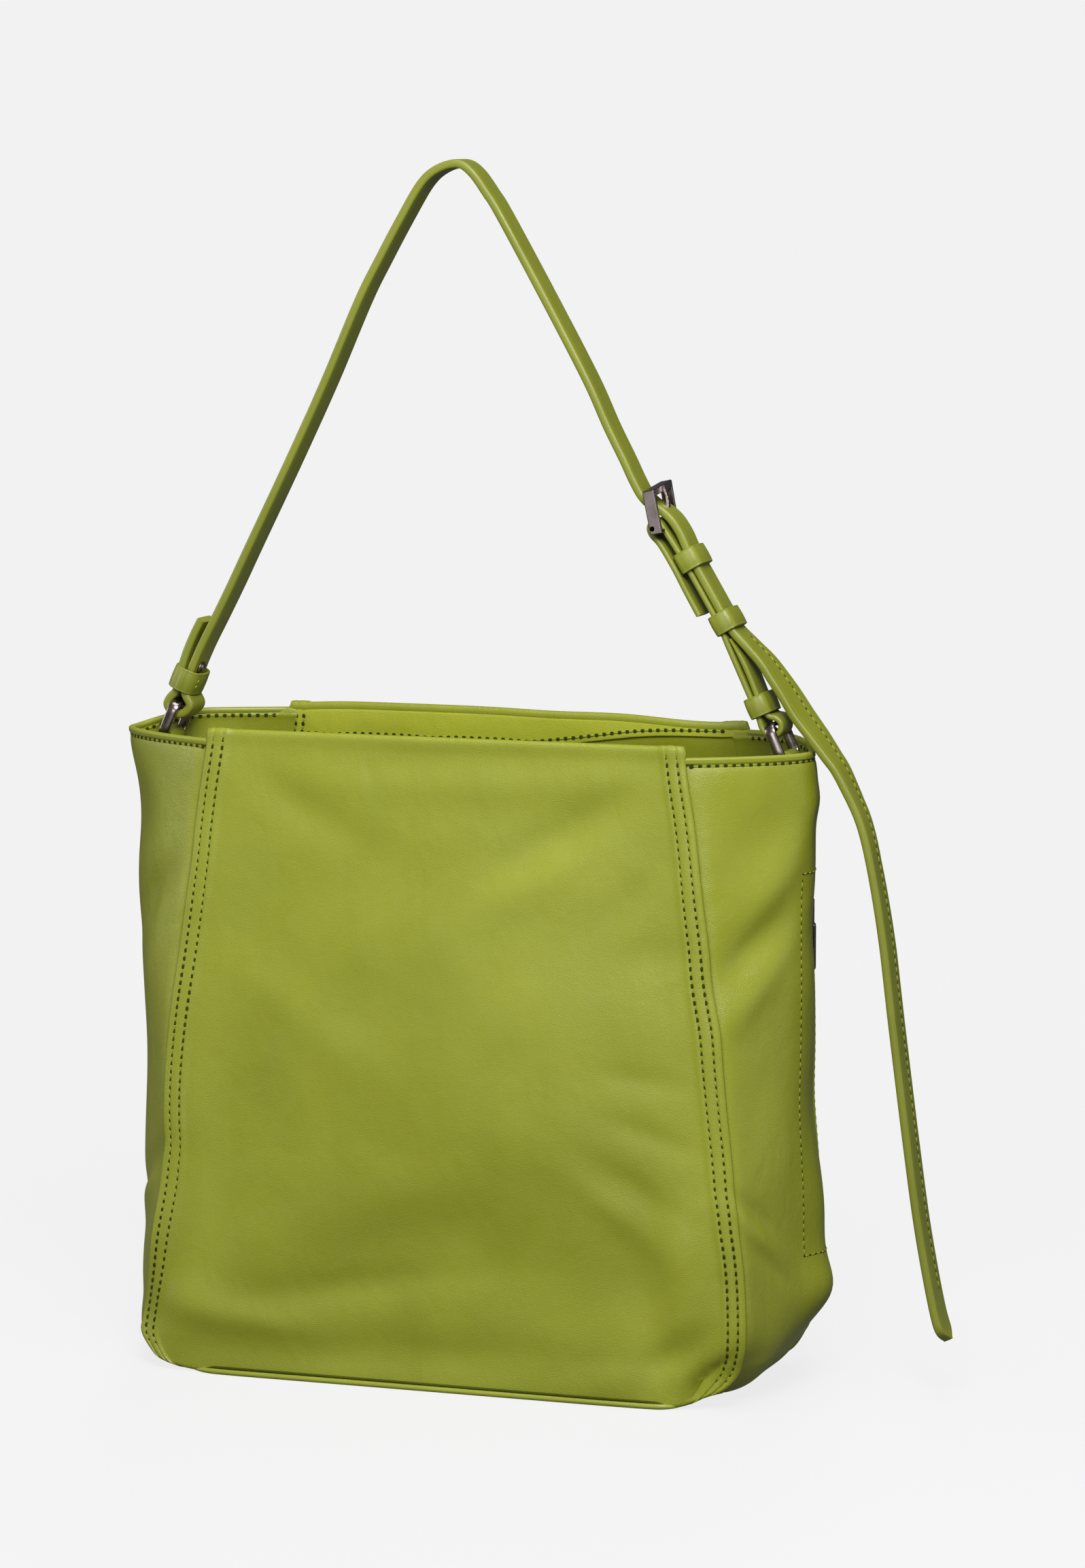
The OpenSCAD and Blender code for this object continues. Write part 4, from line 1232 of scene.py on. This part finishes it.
for word, side in (("left", -1), ("right", 1)):
    gusset_skin(word + "_gusset_shell", side, word + "_gusset")
    rim_skin(word + "_rim", side, word + "_rim_edge")
    ring_tab(word + "_tab", side, word + "_ring_tab")
    ring_skin(word + "_flat_ring", side, word + "_ring")
sew("rim_thread", [rim_row(side, inside) for side in (-1, 1) for inside in (False, True)], "bag")

base_skin()
sew("base_thread", base_rows(), "bag")
lining_skin()
pocket_frame()
zip_tape_skin()
zip_teeth_fine()
sew("pocket_thread", pocket_rows(), "bag", True)

# The long strap is one piece of leather: three meshes share its section where they meet.
whole = spline(LEFT_FOLD + left_loop() + MAIN + TAIL_TOP + TAIL)
first_tail = len(LEFT_FOLD) + len(left_loop()) + len(MAIN)
split_one, split_two = (first_tail - 1) * STEPS, (first_tail + 2) * STEPS
moved_in, twist = tail_ease(whole[:, 1])
moved_in[:split_one], twist[:split_one] = 0, 0
whole -= line_frame(whole)[1] * moved_in[:, None]
strap_skin("long_strap", whole[:split_one + 1], STRAP_W, STRAP_T, "handle", ["shoulder_strap"],
           twist=twist[:split_one + 1])
bend = strap_skin("strap_bend", whole[split_one:split_two + 1], STRAP_W, STRAP_T, None,
                  ["strap_tail_top"], twist=twist[split_one:split_two + 1])
hanging = strap_skin("hanging_tail", whole[split_two:], STRAP_W, STRAP_T, None, ["strap_tail"],
                     twist=twist[split_two:], round_end=9.0)
row_y = 2.6                     # the tail's stitch row is this far from its middle
below_keeper = slice(split_one + 6, split_two)
above_tip = slice(split_two, -10)
bend_row = strap_row(whole[below_keeper], row_y, STRAP_T, twist[below_keeper])
tail_row = strap_row(whole[above_tip], row_y, STRAP_T, twist[above_tip])
bend_thread = sew("bend_thread", [bend_row], None, True)
tail_thread = sew("tail_thread", [tail_row], None, True)
for obj in (bend, bend_thread):
    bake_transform(obj)
for obj in (hanging, tail_thread):
    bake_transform(obj)
strap_skin("short_strap", spline(short_route()), STRAP_W, SHORT_T, "handle", ["buckle_strap"],
           thin_end=14.0)

keeper_inner = STRAP_T + SHORT_T + KEEPER_ROOM
keeper_skin("left_loop_keeper", LEFT_KEEPER_AT, LEFT_KEEPER_DIR, LEFT_KEEPER_ROOM, "left_keeper",
            "handle", corner=4.2, bow=0.7, length=12.2)
for word, at in (("upper", BUNDLE_TOP), ("lower", BUNDLE_LOW)):
    keeper_skin(word + "_loop_keeper", at, BUNDLE_DIR, keeper_inner, word + "_keeper",
                word + "_keeper")
keeper_skin("ring_loop_keeper", leg_pt(-1.4, 0), LEG_DIR, 2 * SHORT_T + KEEPER_ROOM + 0.7,
            "ring_keeper", "ring_keeper")
sew("keeper_thread", cross_stitches(), "handle")

stud_cap()
frame_skin()
for node, width in (("buckle_pin", 0.2), ("buckle_prong", 0.3), ("zip_slider", 0.25),
                    ("zip_puller", 0.2)):
    finish_metal(node, width)
for node, material, slot in (("base_board", BOARD, "stiffener"),
                             ("pocket_pouch", LINING, "lining_cloth")):
    NODES[node].data.materials.clear()
    NODES[node].data.materials.append(material)

# ---- Floor, light and camera ----
BACKDROP = 0.888                # the level that the floor and the world show behind the bag
FLOOR_ALBEDO, FLOOR_NEAR = 0.06, 0.808
FLOOR_CAST, WORLD_CAST = 0.10, 0.10    # the levels at which the two light the bag


def seen_level(tree, seen, cast):
    """A level that is one value where it is looked at and another where it lights the bag."""
    path = tree.nodes.new("ShaderNodeLightPath")
    level = tree.nodes.new("ShaderNodeMapRange")
    level.inputs["To Min"].default_value = cast
    level.inputs["To Max"].default_value = seen
    tree.links.new(path.outputs["Is Camera Ray"], level.inputs["Value"])
    return level.outputs["Result"]


def floor_material():
    """Takes a faint shadow near the bag, and further off fades into the world's own level."""
    material, tree, shader = new_material("pale_floor")
    length = tree.nodes.new("ShaderNodeVectorMath")
    length.operation = "LENGTH"
    tree.links.new(object_coords(tree), length.inputs[0])
    far = tree.nodes.new("ShaderNodeMapRange")
    far.inputs["From Min"].default_value = 0.5
    far.inputs["From Max"].default_value = 1.7
    tree.links.new(length.outputs["Value"], far.inputs["Value"])
    tree.links.new(ramp(tree, far.outputs["Result"], 0.0, 1.0, (FLOOR_ALBEDO,) * 3, (0.0,) * 3),
                   shader.inputs["Base Color"])
    seen = tree.nodes.new("ShaderNodeMapRange")
    seen.inputs["To Min"].default_value = FLOOR_NEAR
    seen.inputs["To Max"].default_value = BACKDROP
    tree.links.new(far.outputs["Result"], seen.inputs["Value"])
    glow = seen_level(tree, BACKDROP, FLOOR_CAST)
    tree.links.new(seen.outputs["Result"], glow.node.inputs["To Max"])
    tree.links.new(glow, shader.inputs["Emission Strength"])
    shader.inputs["Roughness"].default_value = 1.0
    shader.inputs["Specular IOR Level"].default_value = 0.0
    shader.inputs["Emission Color"].default_value = (1, 1, 1, 1)
    return material


def add_floor(radius=60.0):
    mesh = bpy.data.meshes.new("floor")
    count = 64
    turn = np.arange(count) * 2 * math.pi / count
    ring = [(radius * math.cos(a), radius * math.sin(a), 0) for a in turn]
    mesh.from_pydata(ring, [], [list(range(count))])
    mesh.materials.append(floor_material())
    floor = bpy.data.objects.new("floor", mesh)
    bpy.context.scene.collection.objects.link(floor)


def aim(obj, place, target):
    obj.location = place
    direction = Vector(target) - Vector(place)
    obj.rotation_euler = direction.to_track_quat("-Z", "Y").to_euler()
    bpy.context.scene.collection.objects.link(obj)


def add_light(name, place, target, size, level, glossy=True):
    """A round soft box; level is the light it gives at its target, where 1 shows white as white.

    One that isn't glossy gives no glints.
    """
    data = bpy.data.lights.new(name, "AREA")
    data.shape = "DISK"
    data.size = size
    distance = (Vector(target) - Vector(place)).length
    data.energy = level * math.pi ** 2 * distance ** 2
    light = bpy.data.objects.new(name, data)
    light.visible_camera = False
    light.visible_glossy = glossy
    aim(light, place, target)


def add_world():
    world = bpy.data.worlds.new("studio")
    world.use_nodes = True
    background = world.node_tree.nodes["Background"]
    background.inputs["Color"].default_value = (1, 1, 1, 1)
    world.node_tree.links.new(seen_level(world.node_tree, BACKDROP, WORLD_CAST),
                              background.inputs["Strength"])
    bpy.context.scene.world = world
    bpy.context.scene.view_settings.view_transform = "Standard"


def add_camera():
    """A long lens a little to the right of the bag, slightly above it."""
    turn = math.radians(19)
    distance, height, look_height, aside = 2.80, 0.650, 0.3005, 0.0345
    right = np.array([math.cos(turn), math.sin(turn), 0])
    back = np.array([math.sin(turn), -math.cos(turn), 0])
    target = right * aside + np.array([0, 0, look_height])
    place = right * aside + back * distance + np.array([0, 0, height])
    data = bpy.data.cameras.new("camera")
    data.lens = 127.6
    data.sensor_width = 36
    camera = bpy.data.objects.new("camera", data)
    aim(camera, place.tolist(), target.tolist())
    bpy.context.scene.camera = camera


add_floor()
add_world()
add_light("key", (0.46, -1.08, 1.20), (0, 0, 0.25), 0.7, 1.34)
add_light("fill", (-0.15, -2.72, 0.42), (0, 0, 0.22), 0.9, 0.16)
add_light("side", (-2.3, -0.7, 0.8), (0, 0, 0.2), 1.2, 0.32)
add_light("rear", (2.3, 0.1, 0.45), (0, 0, 0.15), 1.2, 0.18)
add_light("back", (-0.5, 2.6, 1.4), (0, 0, 0.2), 1.4, 0.80, glossy=False)
add_light("top", (0.1, -0.3, 2.0), (0, 0, 0.3), 1.0, 0.46)
add_camera()
